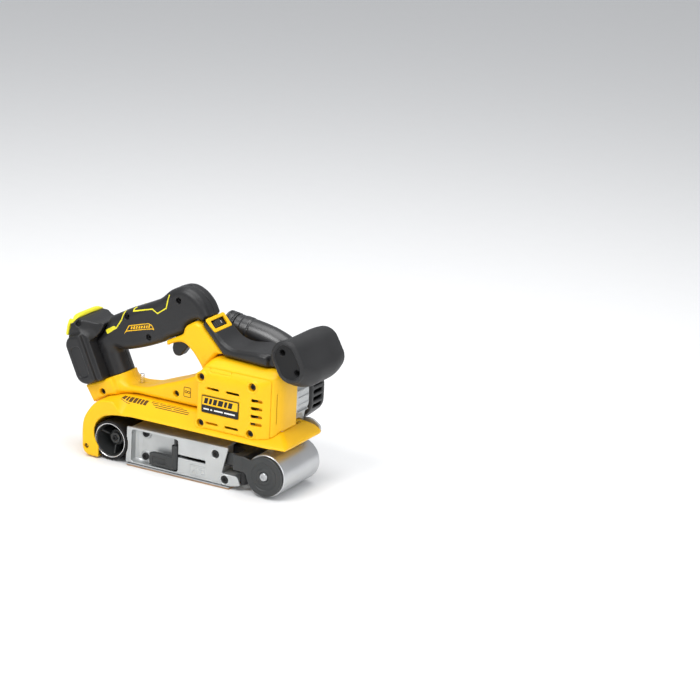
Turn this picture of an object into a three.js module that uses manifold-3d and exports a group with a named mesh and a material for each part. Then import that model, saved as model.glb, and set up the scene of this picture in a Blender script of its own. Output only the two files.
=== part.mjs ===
// A handheld cordless belt sander as an assembly of named solids, in millimetres, +Z up.
// Lengths here count X forward from the drive roller's axis, Y to the tool's left from the middle
// of the belt, and Z up from the underside of the sole. The group is moved at the end, so that the
// part's own origin is the middle of the sole's underside.
import * as THREE from "three";
import { ConvexGeometry } from "three/addons/geometries/ConvexGeometry.js";
import { mergeVertices } from "three/addons/utils/BufferGeometryUtils.js";
import Module from "manifold-3d";

const wasm = await Module();
wasm.setup();

// Driving dimensions.
const BELT_LENGTH = 533;
const BELT_WIDTH = 75;
const DRIVE_RADIUS = 21.9;
const IDLER_RADIUS = 23.4;
const ROLLER_LIFT = 0.8;
const ROLLER_SPACING = (BELT_LENGTH - Math.PI * (DRIVE_RADIUS + IDLER_RADIUS)) / 2;
const DRIVE = [0, DRIVE_RADIUS + ROLLER_LIFT];
const IDLER = [ROLLER_SPACING, IDLER_RADIUS + ROLLER_LIFT];
const MOTOR = [150, 92];
const SOLE_BACK = 23.3;
const SOLE_FRONT = 152.1;
const SOLE_MIDDLE = (SOLE_BACK + SOLE_FRONT) / 2;
const SOLE_PAD = 1.6;
const SOLE_STEEL = 1.3;
const GAP = 0.3;
const GUARD_RIGHT = -42;
const GUARD_LEFT = 37.4;
const GUARD_WALL = 3;
const DECK_HEIGHT = 74;
const SKIRT_EDGE = 56;
const COVER_RIGHT = -38;
const COVER_SPLIT = -32;
const CASE_SPLIT = 7;
const CASE_LEFT = 35;
const PLATE_RIGHT = 37.8;
const PLATE_LEFT = 41;
const FAN_CASE_LEFT = 67;
const PULLEY_RIGHT = 45.5;
const PULLEY_LEFT = 54.5;
const DRIVEN_TEETH = 24;
const MOTOR_TEETH = 9;
const TOOTH_PITCH = 3.93;
const GRIP_HALF = 16;
const BODY_HALF = 20;
const DOCK_ORIGIN = [-27, 80.6];
const DOCK_TILT = THREE.MathUtils.degToRad(25);
const COLUMN_BACK = 12.4;
const COLUMN_FLAT = 19.5;
const LEVER_PIVOT = [82, -34];
const DIAL_SLOPE = THREE.MathUtils.degToRad(-47.5);
const DIAL_CENTRE = [103, 161.6];
const DIAL_RADIUS = 10;
const KNOB_CENTRE = [216.6, 153.6];
const KNOB_TILT = THREE.MathUtils.degToRad(-60.5);
const KNOB_PIVOT = [207, 148.5];
const ARM_HALF = 20;

// Materials, by the names that the meshes use.
function finish(color, roughness, metalness = 0) {
  return { color, roughness, metalness };
}
const FINISH = {
  yellow: finish(0xf3b51b, 0.42),
  lime: finish(0xd8d92e, 0.45),
  black: finish(0x2b2b2c, 0.62),
  rubber: finish(0x333435, 0.85),
  casting: finish(0xb9bcbe, 0.4, 0.9),
  steel: finish(0xa6a8aa, 0.3, 1),
  darkSteel: finish(0x4a4c4e, 0.45, 0.8),
  silver: finish(0xc9cbcd, 0.32, 0.9),
  cork: finish(0x9a6f4a, 0.9),
};

const group = new THREE.Group();

// Solids: a closed geometry becomes a manifold, and a manifold becomes a named mesh.
function solidOf(geometry) {
  const bare = geometry.clone();
  bare.deleteAttribute("normal");
  bare.deleteAttribute("uv");
  const merged = mergeVertices(bare, 1e-4);
  const vertProperties = merged.attributes.position.array;
  const triVerts = new Uint32Array(merged.index.array);
  const made = new wasm.Manifold(new wasm.Mesh({ numProp: 3, vertProperties, triVerts }));
  if (made.volume() > 0) return made;
  const turned = triVerts.slice().reverse();
  return new wasm.Manifold(new wasm.Mesh({ numProp: 3, vertProperties, triVerts: turned }));
}

function add(name, solid, finishName) {
  const mesh = solid.getMesh();
  const geometry = new THREE.BufferGeometry();
  geometry.setAttribute("position", new THREE.BufferAttribute(mesh.vertProperties, 3));
  geometry.setIndex(new THREE.BufferAttribute(mesh.triVerts, 1));
  geometry.computeVertexNormals();
  const piece = new THREE.Mesh(geometry, new THREE.MeshStandardMaterial(FINISH[finishName]));
  piece.name = name;
  group.add(piece);
}

// A closed outline from corners [a, b], where a third number rounds the corner off from that far.
// A corner stays sharp where its rounding would be smaller than the least one given.
function outline(corners, least = 0) {
  const shape = new THREE.Shape();
  corners.forEach(([a, b, wanted = 0], i) => {
    const corner = new THREE.Vector2(a, b);
    const before = new THREE.Vector2(...corners.at(i - 1));
    const after = new THREE.Vector2(...corners[(i + 1) % corners.length]);
    const back = corner.distanceTo(before);
    const ahead = corner.distanceTo(after);
    const room = Math.min(wanted, 0.49 * back, 0.49 * ahead);
    const cut = room < least ? 0 : room;
    const start = corner.clone().lerp(before, cut / back);
    const end = corner.clone().lerp(after, cut / ahead);
    if (i === 0) shape.moveTo(start.x, start.y);
    else shape.lineTo(start.x, start.y);
    if (cut) shape.quadraticCurveTo(a, b, end.x, end.y);
  });
  return shape;
}

// The shape's plane stands across the named axis: (x, z) for Y, (y, z) for X and (x, y) for Z.
const AXES = { x: [1, 0, 0], y: [0, 1, 0], z: [0, 0, 1] };
const PLANES = {
  X: new THREE.Matrix4().makeBasis(vector("y"), vector("z"), vector("x")),
  Y: new THREE.Matrix4().makeBasis(vector("x"), vector("z"), vector("y").negate()),
  Z: new THREE.Matrix4(),
};

function vector(axis) {
  return new THREE.Vector3(...AXES[axis]);
}

// A prism across an axis from one place to another, with its end edges rounded by round.
function prism(axis, shape, from, to, round = 0) {
  const flat = Array.isArray(shape) ? outline(shape, 2 * round) : shape;
  const geometry = new THREE.ExtrudeGeometry(flat, {
    depth: to - from - 2 * round,
    curveSegments: 3,
    bevelEnabled: round > 0,
    bevelThickness: round,
    bevelSize: round,
    bevelOffset: -round,
    bevelSegments: 2,
  });
  geometry.translate(0, 0, round + (axis === "Y" ? -to : from));
  geometry.applyMatrix4(PLANES[axis]);
  return solidOf(geometry);
}

function box(x0, x1, y0, y1, z0, z1) {
  return prism("Z", [[x0, y0], [x1, y0], [x1, y1], [x0, y1]], z0, z1);
}

// A round bar across an axis, centred on the plane's point.
function rod(axis, radius, from, to, [a, b], sides = 20) {
  const points = [];
  for (let i = 0; i < sides; i++) {
    const angle = (2 * Math.PI * i) / sides;
    points.push([a + radius * Math.cos(angle), b + radius * Math.sin(angle)]);
  }
  return prism(axis, points, from, to);
}

// A solid turned about a line along Y through (x, z), from [radius, y] corners.
function turned(profile, [x, z], sides = 24) {
  const points = profile.map(([radius, y]) => new THREE.Vector2(radius, y));
  const geometry = new THREE.LatheGeometry(points, sides);
  geometry.translate(x, 0, z);
  return solidOf(geometry);
}

// A closed ring about a line along Y.
function ring(inner, outer, from, to, centre, sides = 24) {
  const corners = [[inner, from], [outer, from], [outer, to], [inner, to], [inner, from]];
  return turned(corners, centre, sides);
}

// A bar with the given section swept along a curve.
function swept(section, path, steps) {
  return solidOf(new THREE.ExtrudeGeometry(section, { steps, extrudePath: path, curveSegments: 8 }));
}

function rightOf(y) {
  return box(-200, 400, -200, y, -100, 400);
}

function leftOf(y) {
  return box(-200, 400, y, 200, -100, 400);
}

// Both halves of a solid that is parted along the tool's middle plane.
function halves(solid) {
  return [solid.intersect(rightOf(-GAP / 2)), solid.intersect(leftOf(GAP / 2))];
}

// A socket-head screw whose head stands from the seat to the top, along Y, with its shank behind.
function screw([x, z], top, seat, radius) {
  const towards = Math.sign(seat - top);
  const head = rod("Y", radius, Math.min(top, seat), Math.max(top, seat), [x, z], 14);
  const depth = top + towards * Math.abs(seat - top) * 0.6;
  const mouth = top - towards;
  const socket = rod("Y", radius * 0.5, Math.min(mouth, depth), Math.max(mouth, depth), [x, z], 6);
  return head.subtract(socket);
}

// A place in the side view given along the dock's tilt (up) and square to it (backwards).
function dockPoint(up, back, cut = 0) {
  const [x, z] = DOCK_ORIGIN;
  const c = Math.cos(DOCK_TILT);
  const s = Math.sin(DOCK_TILT);
  return [x - s * up - c * back, z + c * up - s * back, cut];
}

function dockOutline(corners) {
  return corners.map(([up, back, cut]) => dockPoint(up, back, cut));
}

// The deck of the belt guard in section, raised or lowered by an offset.
function deckSection(offset) {
  return [
    [GUARD_RIGHT - offset, 30],
    [GUARD_RIGHT - offset, 58 + offset, 2],
    [-30, 65.2 + offset],
    [-20, DECK_HEIGHT + offset, 4],
    [22, DECK_HEIGHT + offset, 6],
    [GUARD_LEFT + offset, 65 + offset, 2],
    [GUARD_LEFT + offset, 30],
  ];
}

// All that lies under the deck's surface and the guard's sloping front, with a gap over them.
function underDeck() {
  const side = [[80, -20], [80, 90], [177.5, 90], [231, 53], [231, -20]];
  return prism("X", deckSection(GAP), 90, 220).intersect(prism("Y", side, -60, 60));
}

// Outline of two circles joined by their outer tangents, as a belt lies on two pulleys.
function beltOutline([x1, z1], r1, [x2, z2], r2) {
  const along = Math.atan2(z2 - z1, x2 - x1);
  const spread = Math.acos((r1 - r2) / Math.hypot(x2 - x1, z2 - z1));
  const shape = new THREE.Shape();
  shape.absarc(x1, z1, r1, along + spread, along + 2 * Math.PI - spread);
  shape.absarc(x2, z2, r2, along - spread, along + spread);
  return new THREE.Shape(shape.getPoints(7));
}

// A toothed wheel between two places along Y, with a bore.
function toothed(teeth, from, to, centre, bore) {
  const pitchRadius = (teeth * TOOTH_PITCH) / (2 * Math.PI);
  const points = [];
  for (let i = 0; i < 2 * teeth; i++) {
    const radius = i % 2 ? pitchRadius - 1.2 : pitchRadius;
    for (const part of [0.1, 0.6]) {
      const angle = ((i + part) * Math.PI) / teeth;
      const [x, z] = centre;
      points.push([x + radius * Math.cos(angle), z + radius * Math.sin(angle)]);
    }
  }
  return prism("Y", points, from, to).subtract(rod("Y", bore, from - 1, to + 1, centre, 16));
}

// The yellow belt guard: a deck over the belt, a fender round the drive roller and a front nose.
function beltGuard() {
  const side = [
    [-12.3, 1.2], [-27.5, 1.2, 4], [-33, 7.5, 5], [-34.5, 28, 10], [-33.2, 43, 8], [-24, 57.5, 8],
    [-14, 67, 8], [16, DECK_HEIGHT, 8], [200, DECK_HEIGHT, 8], [219.5, 60.5, 2], [219.5, 56.4, 1],
    [205, SKIRT_EDGE], [100, 20], [0, 20],
  ];
  const fender = box(-60, 10, GUARD_RIGHT, GUARD_LEFT, -5, 70);
  const section = prism("X", deckSection(0), -60, 240).add(fender.intersect(rightOf(GUARD_LEFT)));
  const passage = [
    [-8, 40], [-5, 49, 3], [4.7, 53.6, 3], [30, SKIRT_EDGE, 4], [240, SKIRT_EDGE], [240, 0],
    [-12.3, 0], [-12.3, 13],
  ];
  const right = GUARD_RIGHT + GUARD_WALL;
  const top = DECK_HEIGHT - GUARD_WALL;
  const hollow = [
    [right, 40], [right, 56.6, 2], [-28.5, 62.4], [-19, top, 4], [21, top, 6], [34.4, 62], [34.4, 40],
  ];
  return prism("Y", side, GUARD_RIGHT, GUARD_LEFT, 2)
    .intersect(section)
    .subtract(rod("Y", 25, right, 60, DRIVE, 32))
    .subtract(rod("Y", 22, -60, 0, [3.5, 30], 28))
    .subtract(prism("Y", passage, -60, 60))
    .subtract(prism("X", hollow, 12, 203))
    .subtract(rod("Y", 34.4, COVER_SPLIT - 1, 60, MOTOR, 28))
    .subtract(rod("Y", 3, GUARD_RIGHT - 1, GUARD_RIGHT + 3, [-28, 11.5], 14));
}

// The aluminium casting on the left side, which carries the drive shaft's bearing.
function leftSidePlate() {
  const side = [
    [-34, 38, 5], [-31, 54, 6], [-16, 65, 6], [108, 66, 2], [196, 69.8, 4], [207, 70.4, 5],
    [217.5, 63, 5], [217, 54, 4], [200, 52, 4], [158, 51, 5], [152.5, 44, 4], [151, 8, 4], [146, 4, 2],
    [-8, 3, 6], [-26, 10, 8],
  ];
  return prism("Y", side, PLATE_RIGHT, PLATE_LEFT).subtract(rod("Y", 13, 30, 50, DRIVE, 24));
}

// The frame inside the belt loop, with the lever's recess, the slot and the slide bar's way.
function mainFrame() {
  const right = COVER_RIGHT;
  const left = GUARD_LEFT;
  const core = box(26, 142, right, left, 3.2, 43.8);
  const nearPlate = [
    [20.9, 3.2], [21.6, 43.8], [149.5, 45.6, 1], [142, 16.3], [161.2, 16, 2], [165.3, 6.2, 1],
    [153, 3.2],
  ];
  const nose = [[141, 3.2], [141, 16.2], [156, 16, 2], [157, 8, 1], [152, 3.2]];
  const cavity = [[30, 60], [30, -24], [91, -24], [91, -34.6], [138.5, -34.6], [138.5, 60]];
  const recess = [[27.4, -60], [27.4, -27, 6], [87.2, -27, 1], [87.2, -60]];
  return core
    .add(prism("Y", nearPlate, right, right + 2.4))
    .add(prism("Y", nose, right, left))
    .subtract(rod("Y", 23.4, -60, 60, DRIVE, 32))
    .subtract(prism("Z", cavity, 7, 40.5))
    .subtract(prism("Z", recess, 5, 41.5))
    .subtract(box(86.6, 121.7, -60, -20, 22, 25.5))
    .subtract(box(136, 160, -14, 14, 24, 41.2))
    .subtract(box(128, 160, -35.4, -28.5, 22.8, 41.4))
    .subtract(rod("Y", 4.4, -60, right + 2, [133.7, 35.8], 16))
    .subtract(rod("Y", 4.4, -60, right + 3.5, [146, 9.6], 16))
    .subtract(rod("Z", 2.3, 3.8, 42.6, LEVER_PIVOT, 14));
}

// The motor block's whole outer form, from which the cover, the housing and the case are parted.
function motorBlock() {
  const side = [
    [107, 40], [107, 122, 6], [119, 138, 5], [197, 138, 3], [205, 130, 3], [205.6, 40],
  ];
  const section = [
    [COVER_RIGHT, 40], [COVER_RIGHT, 114, 6], [-33, 127, 6], [-24, 138, 5], [60, 138], [60, 40],
  ];
  const plan = [
    [106, COVER_RIGHT], [179, COVER_RIGHT, 6], [199, -32, 5], [206, -18, 6], [206, 60], [106, 60],
  ];
  return prism("Y", side, -60, 60)
    .intersect(prism("X", section, 90, 220))
    .intersect(prism("Z", plan, 0, 200))
    .subtract(underDeck());
}

function belly(from, to) {
  return rod("Y", 34, from, to, MOTOR, 28);
}

function motorHousing() {
  const from = COVER_SPLIT + GAP / 2;
  const to = CASE_SPLIT - GAP / 2;
  const pocket = box(186, 200, from + 4, to + 1, 80, 114);
  return motorBlock()
    .intersect(leftOf(from))
    .intersect(rightOf(to))
    .add(belly(from, to))
    .subtract(rod("Y", 31, -60, 60, MOTOR, 28))
    .subtract(pocket);
}

const END_SCREWS = [[112, 117], [175, 118], [113, 66.4], [174, 66.4]];
const PLATE_BOX = [114, 160, 79, 98.5];

function motorEndCover() {
  const slots = [];
  for (let i = 0; i < 4; i++) slots.push([174, 187, 76 + 8.6 * i, 80 + 8.6 * i]);
  for (const [x0, x1] of [[119, 134], [143, 159]]) {
    slots.push([x0, x1, 66.5, 69]);
    slots.push([x0, x1, 104.5, 107.5]);
  }
  let cover = motorBlock()
    .intersect(rightOf(COVER_SPLIT - GAP / 2))
    .subtract(rod("Y", 29, COVER_SPLIT - 3, 0, MOTOR, 28))
    .subtract(rod("Y", 9.4, -36, 0, MOTOR, 20));
  for (const [x0, x1, z0, z1] of slots) cover = cover.subtract(box(x0, x1, -60, 0, z0, z1));
  for (const place of END_SCREWS) cover = cover.subtract(rod("Y", 4, -60, -34.6, place, 16));
  const [x0, x1, z0, z1] = PLATE_BOX;
  return cover.subtract(box(x0, x1, -60, COVER_RIGHT + 1.2, z0, z1));
}

// The cast case at the motor's drive end.
function gearCase() {
  const from = CASE_SPLIT + GAP / 2;
  const side = [
    [108.5, 40], [108.5, 114, 8], [118, 121.8, 6], [190, 121.8, 8], [203.5, 110, 6], [204, 88, 2],
    [199, 76, 2], [196, 40],
  ];
  return prism("Y", side, from, CASE_LEFT, 1)
    .subtract(underDeck())
    .add(belly(from, CASE_LEFT))
    .subtract(rod("Y", 31, 0, 20, MOTOR, 28))
    .subtract(rod("Y", 10.3, 19, 29.5, MOTOR, 20))
    .subtract(rod("Y", 6, 28, 60, MOTOR, 16));
}

// The black drive cover: a belt case down to the drive roller and the extraction fan's case.
function driveCover() {
  const section = [
    [35.4, 70.6], [35.4, 122], [60, 122, 5], [FAN_CASE_LEFT, 113, 5], [FAN_CASE_LEFT, 66, 5],
    [62, 57, 4], [PLATE_LEFT + GAP, 57], [PLATE_LEFT + GAP, 70.6],
  ];
  const inside = [
    [35, 73.2], [35, 119.4], [59, 119.4, 5], [64.4, 112, 5], [64.4, 67, 5], [60.5, 59.6, 4],
    [PLATE_LEFT, 59.6], [PLATE_LEFT, 73.2],
  ];
  const side = [[104, 66], [104, 122, 14], [205, 122, 20], [205, 78, 5], [178, 54, 8], [118, 54, 8]];
  const innerSide = [
    [106.6, 67], [106.6, 119.4, 14], [202.4, 119.4, 20], [202.4, 79, 5], [177, 57, 8], [119, 57, 8],
  ];
  const start = PLATE_LEFT + GAP;
  let cover = prism("X", section, 90, 220)
    .intersect(prism("Y", side, 0, 100))
    .add(prism("Y", beltOutline(DRIVE, 20.6, MOTOR, 21), start, 57.5, 1.5))
    .subtract(prism("X", inside, 100, 220).intersect(prism("Y", innerSide, 0, 100)))
    .subtract(prism("Y", beltOutline(DRIVE, 18.1, MOTOR, 18.5), 30, 55.4))
    .subtract(rod("Z", DUCT_BORE, 110, 140, [173, 48], 16));
  for (let i = 0; i < 4; i++) {
    const z = 80 + 8 * i;
    cover = cover.subtract(box(201, 210, 40, 62, z, z + 4));
    cover = cover.subtract(box(125, 178, 64, 80, z, z + 4));
  }
  return cover;
}

// An upright bar along the dock's tilt: flat where it meets the dock and rounded in front.
function columnBar(halfWidth, front, low, high) {
  const shape = new THREE.Shape();
  shape.moveTo(COLUMN_BACK, -halfWidth);
  shape.absellipse(COLUMN_FLAT, 0, front - COLUMN_FLAT, halfWidth, -Math.PI / 2, Math.PI / 2);
  shape.lineTo(COLUMN_BACK, halfWidth);
  return alongDock(shape, low, high);
}

// A bar along the dock's tilt from its section, given forward from the dock's origin and along Y.
function alongDock(shape, low, high) {
  const depth = high - low;
  const geometry = new THREE.ExtrudeGeometry(shape, { depth, bevelEnabled: false, curveSegments: 10 });
  geometry.translate(0, 0, low);
  geometry.rotateY(-DOCK_TILT);
  geometry.translate(DOCK_ORIGIN[0], 0, DOCK_ORIGIN[1]);
  return solidOf(geometry);
}

// The yellow body: heel under the dock, web under the hand and neck, before it is parted.
function bodyForm() {
  const side = [
    [106.7, 74.6], [18, 74.6, 4], [-13, 67.8, 4], [-31, 56.5], dockPoint(0, 16.6), dockPoint(0, -19),
    [-4, 83.5, 2], [12, 81.8, 5], [24, 83, 5], [33, 84.4, 8], [50, 91.2, 8], [66, 97, 8], [80, 103, 8],
    [92, 109, 8], [102, 116.5, 6], [97.5, 124, 5], [87.5, 136.2, 5], [76.6, 143.4, 5],
    [66, 141.4, 4], [56, 135.6, 1], [54.6, 140.7, 1], [65.7, 146.6, 2], [75.5, 152, 1],
    [77.5, 161.2, 3], [90.5, 169.4, 3], [97.8, 166.8], [126.2, 139.9], [117.8, 137.6], [106.7, 122.2],
  ];
  const heel = [
    dockPoint(0, -19), [-2.5, 76], [-3, 70.4], [-13, 67.8], [-31, 56.5], dockPoint(0, 16.6),
  ];
  const inner = box(56, 99, -14, 14, 78, 89.5);
  return prism("Y", side, -BODY_HALF, BODY_HALF, 2)
    .add(prism("Y", heel, -25, 25, 2))
    .add(columnBar(18, 33.4, -15, 0))
    .subtract(inner)
    .subtract(rod("Z", 2.7, 75.5, 120, KEY_PLACE, 12))
    .subtract(triggerPocket())
    .subtract(dialSolid(DIAL_RADIUS + 0.8, 9.4));
}

function triggerPocket() {
  const side = [[50.5, 120], [50.5, 158], [89, 158], [89, 138], [82, 133], [82, 120]];
  return prism("Y", side, -7.3, 7.3);
}

// The black grip, before it is parted.
function gripForm() {
  const side = [
    dockPoint(31, -12.4), dockPoint(29, -28), [1, 118.6], [15, 122.5, 5], [31, 128.5, 6], [48.5, 136.6, 3],
    [54, 141.2, 1], [65.4, 147.1, 2], [75.1, 152.5, 1], [77.1, 161.7, 3], [90.3, 169.9, 3],
    [98.2, 167.4], [102.2, 173.2], [104.5, 176, 2], [99, 187.2, 8], [87.5, 198, 8], [72, 203.3, 12],
    [54, 196, 8], [43, 183.8, 8], [22, 173.3, 8], [-3, 162, 8], [-20, 152.5, 3],
    dockPoint(61, -35), dockPoint(50, -22.4), dockPoint(44, -12.4),
  ];
  return prism("Y", side, -GRIP_HALF, GRIP_HALF, 5)
    .add(columnBar(GRIP_HALF, 31.7, 0.3, 40))
    .subtract(box(46, 78, -10.5, 10.5, 150, 175))
    .subtract(triggerPocket());
}

// A short cylinder on the dial's axis, which runs down the neck's slope.
function dialSolid(radius, width) {
  const geometry = new THREE.CylinderGeometry(radius, radius, width, 24);
  geometry.rotateZ(DIAL_SLOPE - Math.PI / 2);
  geometry.rotateX(Math.PI / 2);
  geometry.translate(DIAL_CENTRE[0], 0, DIAL_CENTRE[1]);
  return solidOf(geometry);
}

// A rectangle in the side view, given along the neck's slope and outwards from the dial's axis.
function slopeOutline(along0, along1, out0, out1) {
  const c = Math.cos(DIAL_SLOPE);
  const s = Math.sin(DIAL_SLOPE);
  const [x, z] = DIAL_CENTRE;
  const corners = [[along0, out0], [along1, out0], [along1, out1], [along0, out1]];
  return corners.map(([along, out]) => [x + c * along - s * out, z + s * along + c * out]);
}

// The yellow frame round the speed dial's window, on the slope of the neck.
function dialBezel() {
  return prism("Y", slopeOutline(-8.8, 8.8, 7.2, 10), -17.5, 17.5, 0.4)
    .subtract(prism("Y", slopeOutline(-4.7, 4.7, 0, 20), -13, 13));
}

// The black cover over the motor block, with the thumb pad and the arm of the front handle.
function topCover() {
  const side = [
    [98.6, 167.2], [128.6, 138.4], [184, 138.4], [184, 152.6, 5], [171, 151, 6], [141, 148.5, 6],
    [128, 152.6, 6], [104.3, 175.2],
  ];
  const arm = [
    [178, 138.4], [197.4, 138.4], [205.4, 130.4], [208.4, 131.6], [213, 142], KNOB_PIVOT,
    [206, 157.4], [178, 152],
  ];
  return prism("Y", side, -26, 26, 2)
    .subtract(prism("Y", slopeOutline(-20, 9.2, 6.9, 20), -17.9, 17.9))
    .add(prism("Y", arm, -ARM_HALF, ARM_HALF))
    .add(rod("Y", 9, -ARM_HALF, ARM_HALF, KNOB_PIVOT, 20))
    .subtract(rod("Y", 3.4, -30, 30, KNOB_PIVOT, 14))
    .subtract(dialSolid(DIAL_RADIUS + 0.8, 9.4));
}

// The front handle's outline at one place along Y: a stadium on the handle's tilt, shifted down it
// from the centre, as points.
function knobRim(y, shift, half, radius) {
  const shape = new THREE.Shape();
  shape.absarc(shift + half, 0, radius, -Math.PI / 2, Math.PI / 2);
  shape.absarc(shift - half, 0, radius, Math.PI / 2, 1.5 * Math.PI);
  const centre = new THREE.Vector2(...KNOB_CENTRE);
  const origin = new THREE.Vector2();
  return shape.getPoints(6).map((point) => {
    const { x, y: z } = point.rotateAround(origin, KNOB_TILT).add(centre);
    return new THREE.Vector3(x, y, z);
  });
}

// The soft front handle: a long rounded block across the tool, slotted for its arm.
function frontKnob() {
  const rims = [
    knobRim(-40, 0, 6.5, 13.2), knobRim(-35.5, 0, 6.5, 17.2), knobRim(-12, 5.3, 9.7, 17.8),
    knobRim(24, 5.5, 9.5, 17.8), knobRim(41.5, 4, 7.5, 17), knobRim(46.5, 4, 7.5, 13),
  ];
  const [px, pz] = KNOB_PIVOT;
  const slot = [
    [px + 4, pz + 10], [px - 40, pz + 21.5], [px - 40, pz - 40], [px + 4, pz - 36], [px + 9.6, pz - 6],
  ];
  const wide = ARM_HALF + 0.8;
  return solidOf(new ConvexGeometry(rims.flat()))
    .subtract(prism("Y", slot, -wide, wide))
    .subtract(rod("Y", 10, -wide, wide, KNOB_PIVOT, 20))
    .subtract(rod("Y", 3.4, -26, 26, KNOB_PIVOT, 14));
}

// The black battery dock at the back, with two rails in a bay that is open at the top.
function batteryDock() {
  const cheeks = dockOutline([[0.3, -12, 2], [0.3, 11.5, 4], [57, 11.5, 1], [59, 4, 3], [50, -12, 4]]);
  const bulge = dockOutline([
    [1.5, -6, 2], [0.6, 9, 6], [8, 16.8, 5], [50, 16.8, 6], [56.5, 9, 5], [55, -6, 2],
  ]);
  const rails = dockOutline([[7, 7.5], [7, 10.5], [46, 10.5], [46, 7.5]]);
  return prism("Y", cheeks, -30, 30, 2)
    .add(hood())
    .add(prism("Y", bulge, -36, 36, 3))
    .subtract(batteryBay(1))
    .add(prism("Y", rails, -27, -22.5))
    .add(prism("Y", rails, 22.5, 27));
}

// The dock's hood, which narrows forward like a funnel until it meets the grip.
function hood() {
  const side = dockOutline([
    [40, 11.5], [57, 11.5, 1], [72.8, 1, 1], [71.2, -6, 4], [60.5, -20, 6], [57.5, -30, 3], [50, -21.6],
    [44, -12], [40, -6],
  ]);
  const funnel = outline([
    [-40, -30], [2, -30], [8, -27, 3], [20, -17.5, 5], [40, -16], [40, 16], [20, 17.5, 5], [8, 27, 3],
    [2, 30], [-40, 30],
  ]);
  return prism("Y", side, -30, 30)
    .intersect(hoodSection(0))
    .intersect(alongDock(funnel, 20, 90))
    .subtract(rimZone(GAP));
}

// The bay that the battery slides into from above.
function batteryBay(back) {
  return prism("Y", dockOutline([[6, back], [6, 30], [90, 30], [90, back]]), -26.5, 26.5);
}

// The hood's width at each height: an arch over the bay.
function hoodSection(offset) {
  const arch = [[30, 139], [28.4, 144], [24.6, 147.6], [18.5, 149.6], [8, 150.6]];
  const left = arch.map(([y, z]) => [y + offset, z + offset]);
  const right = left.map(([y, z]) => [-y, z]).reverse();
  return prism("X", [[-30 - offset, 40], [30 + offset, 40], ...left, ...right], -90, 20);
}

// The edge of the bay's mouth, outside the hood's inner arch.
function rimZone(grow) {
  const side = dockOutline([
    [57.6 - grow, 12.1], [69 - grow, 4.6], [67.5 - grow, 0.5 - grow], [72 - grow, -4.2 - grow],
    [76.4, -4.2 - grow], [77.2, 2.6], [59.2, 14.4],
  ]);
  return prism("Y", side, -33, 33).subtract(hoodSection(-3.2 - grow));
}

// The lime rim along the bay's mouth: up the edge of each cheek and over the top in an arch.
function batteryRim() {
  return rimZone(0).intersect(hoodSection(0.6)).subtract(batteryBay(0.6));
}

// The dust duct, from the fan case up and back to its open mouth.
const DUCT_PATH = new THREE.CatmullRomCurve3(
  [
    [173, 48, 122.4], [173, 48, 127.4], [167.5, 46.5, 135.8], [153, 45.5, 142.6], [134, 45, 147.2],
    [106, 45, 151],
  ].map((point) => new THREE.Vector3(...point)),
);
const DUCT_RADIUS = 15;
const DUCT_BORE = 12.8;

function ringSection(outer, inner) {
  const section = new THREE.Shape();
  section.absarc(0, 0, outer, 0, 2 * Math.PI);
  const bore = new THREE.Path();
  bore.absarc(0, 0, inner, 0, 2 * Math.PI, true);
  section.holes.push(bore);
  return section;
}

function dustCollar() {
  const mouth = DUCT_PATH.getPoint(1);
  const outwards = DUCT_PATH.getTangent(1);
  const start = mouth.clone().addScaledVector(outwards, GAP);
  const path = new THREE.LineCurve3(start, mouth.clone().addScaledVector(outwards, 12));
  return swept(ringSection(DUCT_RADIUS + 0.6, DUCT_BORE), path, 1);
}

// The fork that carries the front roller: two side plates and a crossbar.
function idlerFork() {
  const [x, z] = IDLER;
  const nearArm = [[157, 24], [157, 41.3], [176, 41.3], [188, 30], [180, 24]];
  return rod("Y", 21.9, -41.2, -38.3, IDLER, 32)
    .add(prism("Y", nearArm, -41.2, -38.3))
    .add(box(158.6, 169, -41.2, 41, 24.4, 41.2))
    .add(rod("Y", 17, 38.3, 41, IDLER, 28))
    .add(box(160, x, 38.3, 41, 24.4, 41))
    .add(box(131, 159, -33.4, -30.2, 25.4, 39.6))
    .subtract(rod("Y", 4.8, -60, 60, [x, z], 20))
    .subtract(rod("Z", 2.4, 20, 30, [166.5, -31], 12));
}

// The belt tension lever, closed against the frame: a grip, and a hub on an upright pin.
function tensionLever() {
  const [x, y] = LEVER_PIVOT;
  const plan = [[50.6, -38.2, 2], [x, y - 4.2], [x, y + 3.2], [52.5, -31, 3]];
  const hub = rod("Z", 4.4, 5.6, 33.7, LEVER_PIVOT, 18);
  const grip = prism("Z", plan, 6, 20.5, 1);
  return grip.add(hub).subtract(rod("Z", 2.35, 0, 50, LEVER_PIVOT, 14));
}

function trigger() {
  const side = [
    [57.5, 139], [55.2, 130, 3], [58.8, 122.6, 3], [66.5, 122.6, 4], [74, 133.6, 3], [80, 138.5],
    [86, 142, 2], [86.5, 149, 3], [80, 153, 3], [62, 152.5, 3],
  ];
  return prism("Y", side, -6.5, 6.5, 1.2);
}

// The hexagon key, stored upright in the web with its end standing out in the finger gap.
const KEY_PLACE = [15.5, 0];

function hexKey() {
  return rod("Z", 2.4, 76, 92.2, KEY_PLACE, 6);
}

function tensionSpring() {
  class Coil extends THREE.Curve {
    getPoint(t) {
      const angle = 2 * Math.PI * 5 * t;
      return new THREE.Vector3(92 + 13 * t, 5.5 * Math.cos(angle), 32 + 5.5 * Math.sin(angle));
    }
  }
  const wire = new THREE.Shape();
  wire.absarc(0, 0, 0.9, 0, 2 * Math.PI);
  return solidOf(new THREE.ExtrudeGeometry(wire, { steps: 40, extrudePath: new Coil(), curveSegments: 3 }));
}

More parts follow.
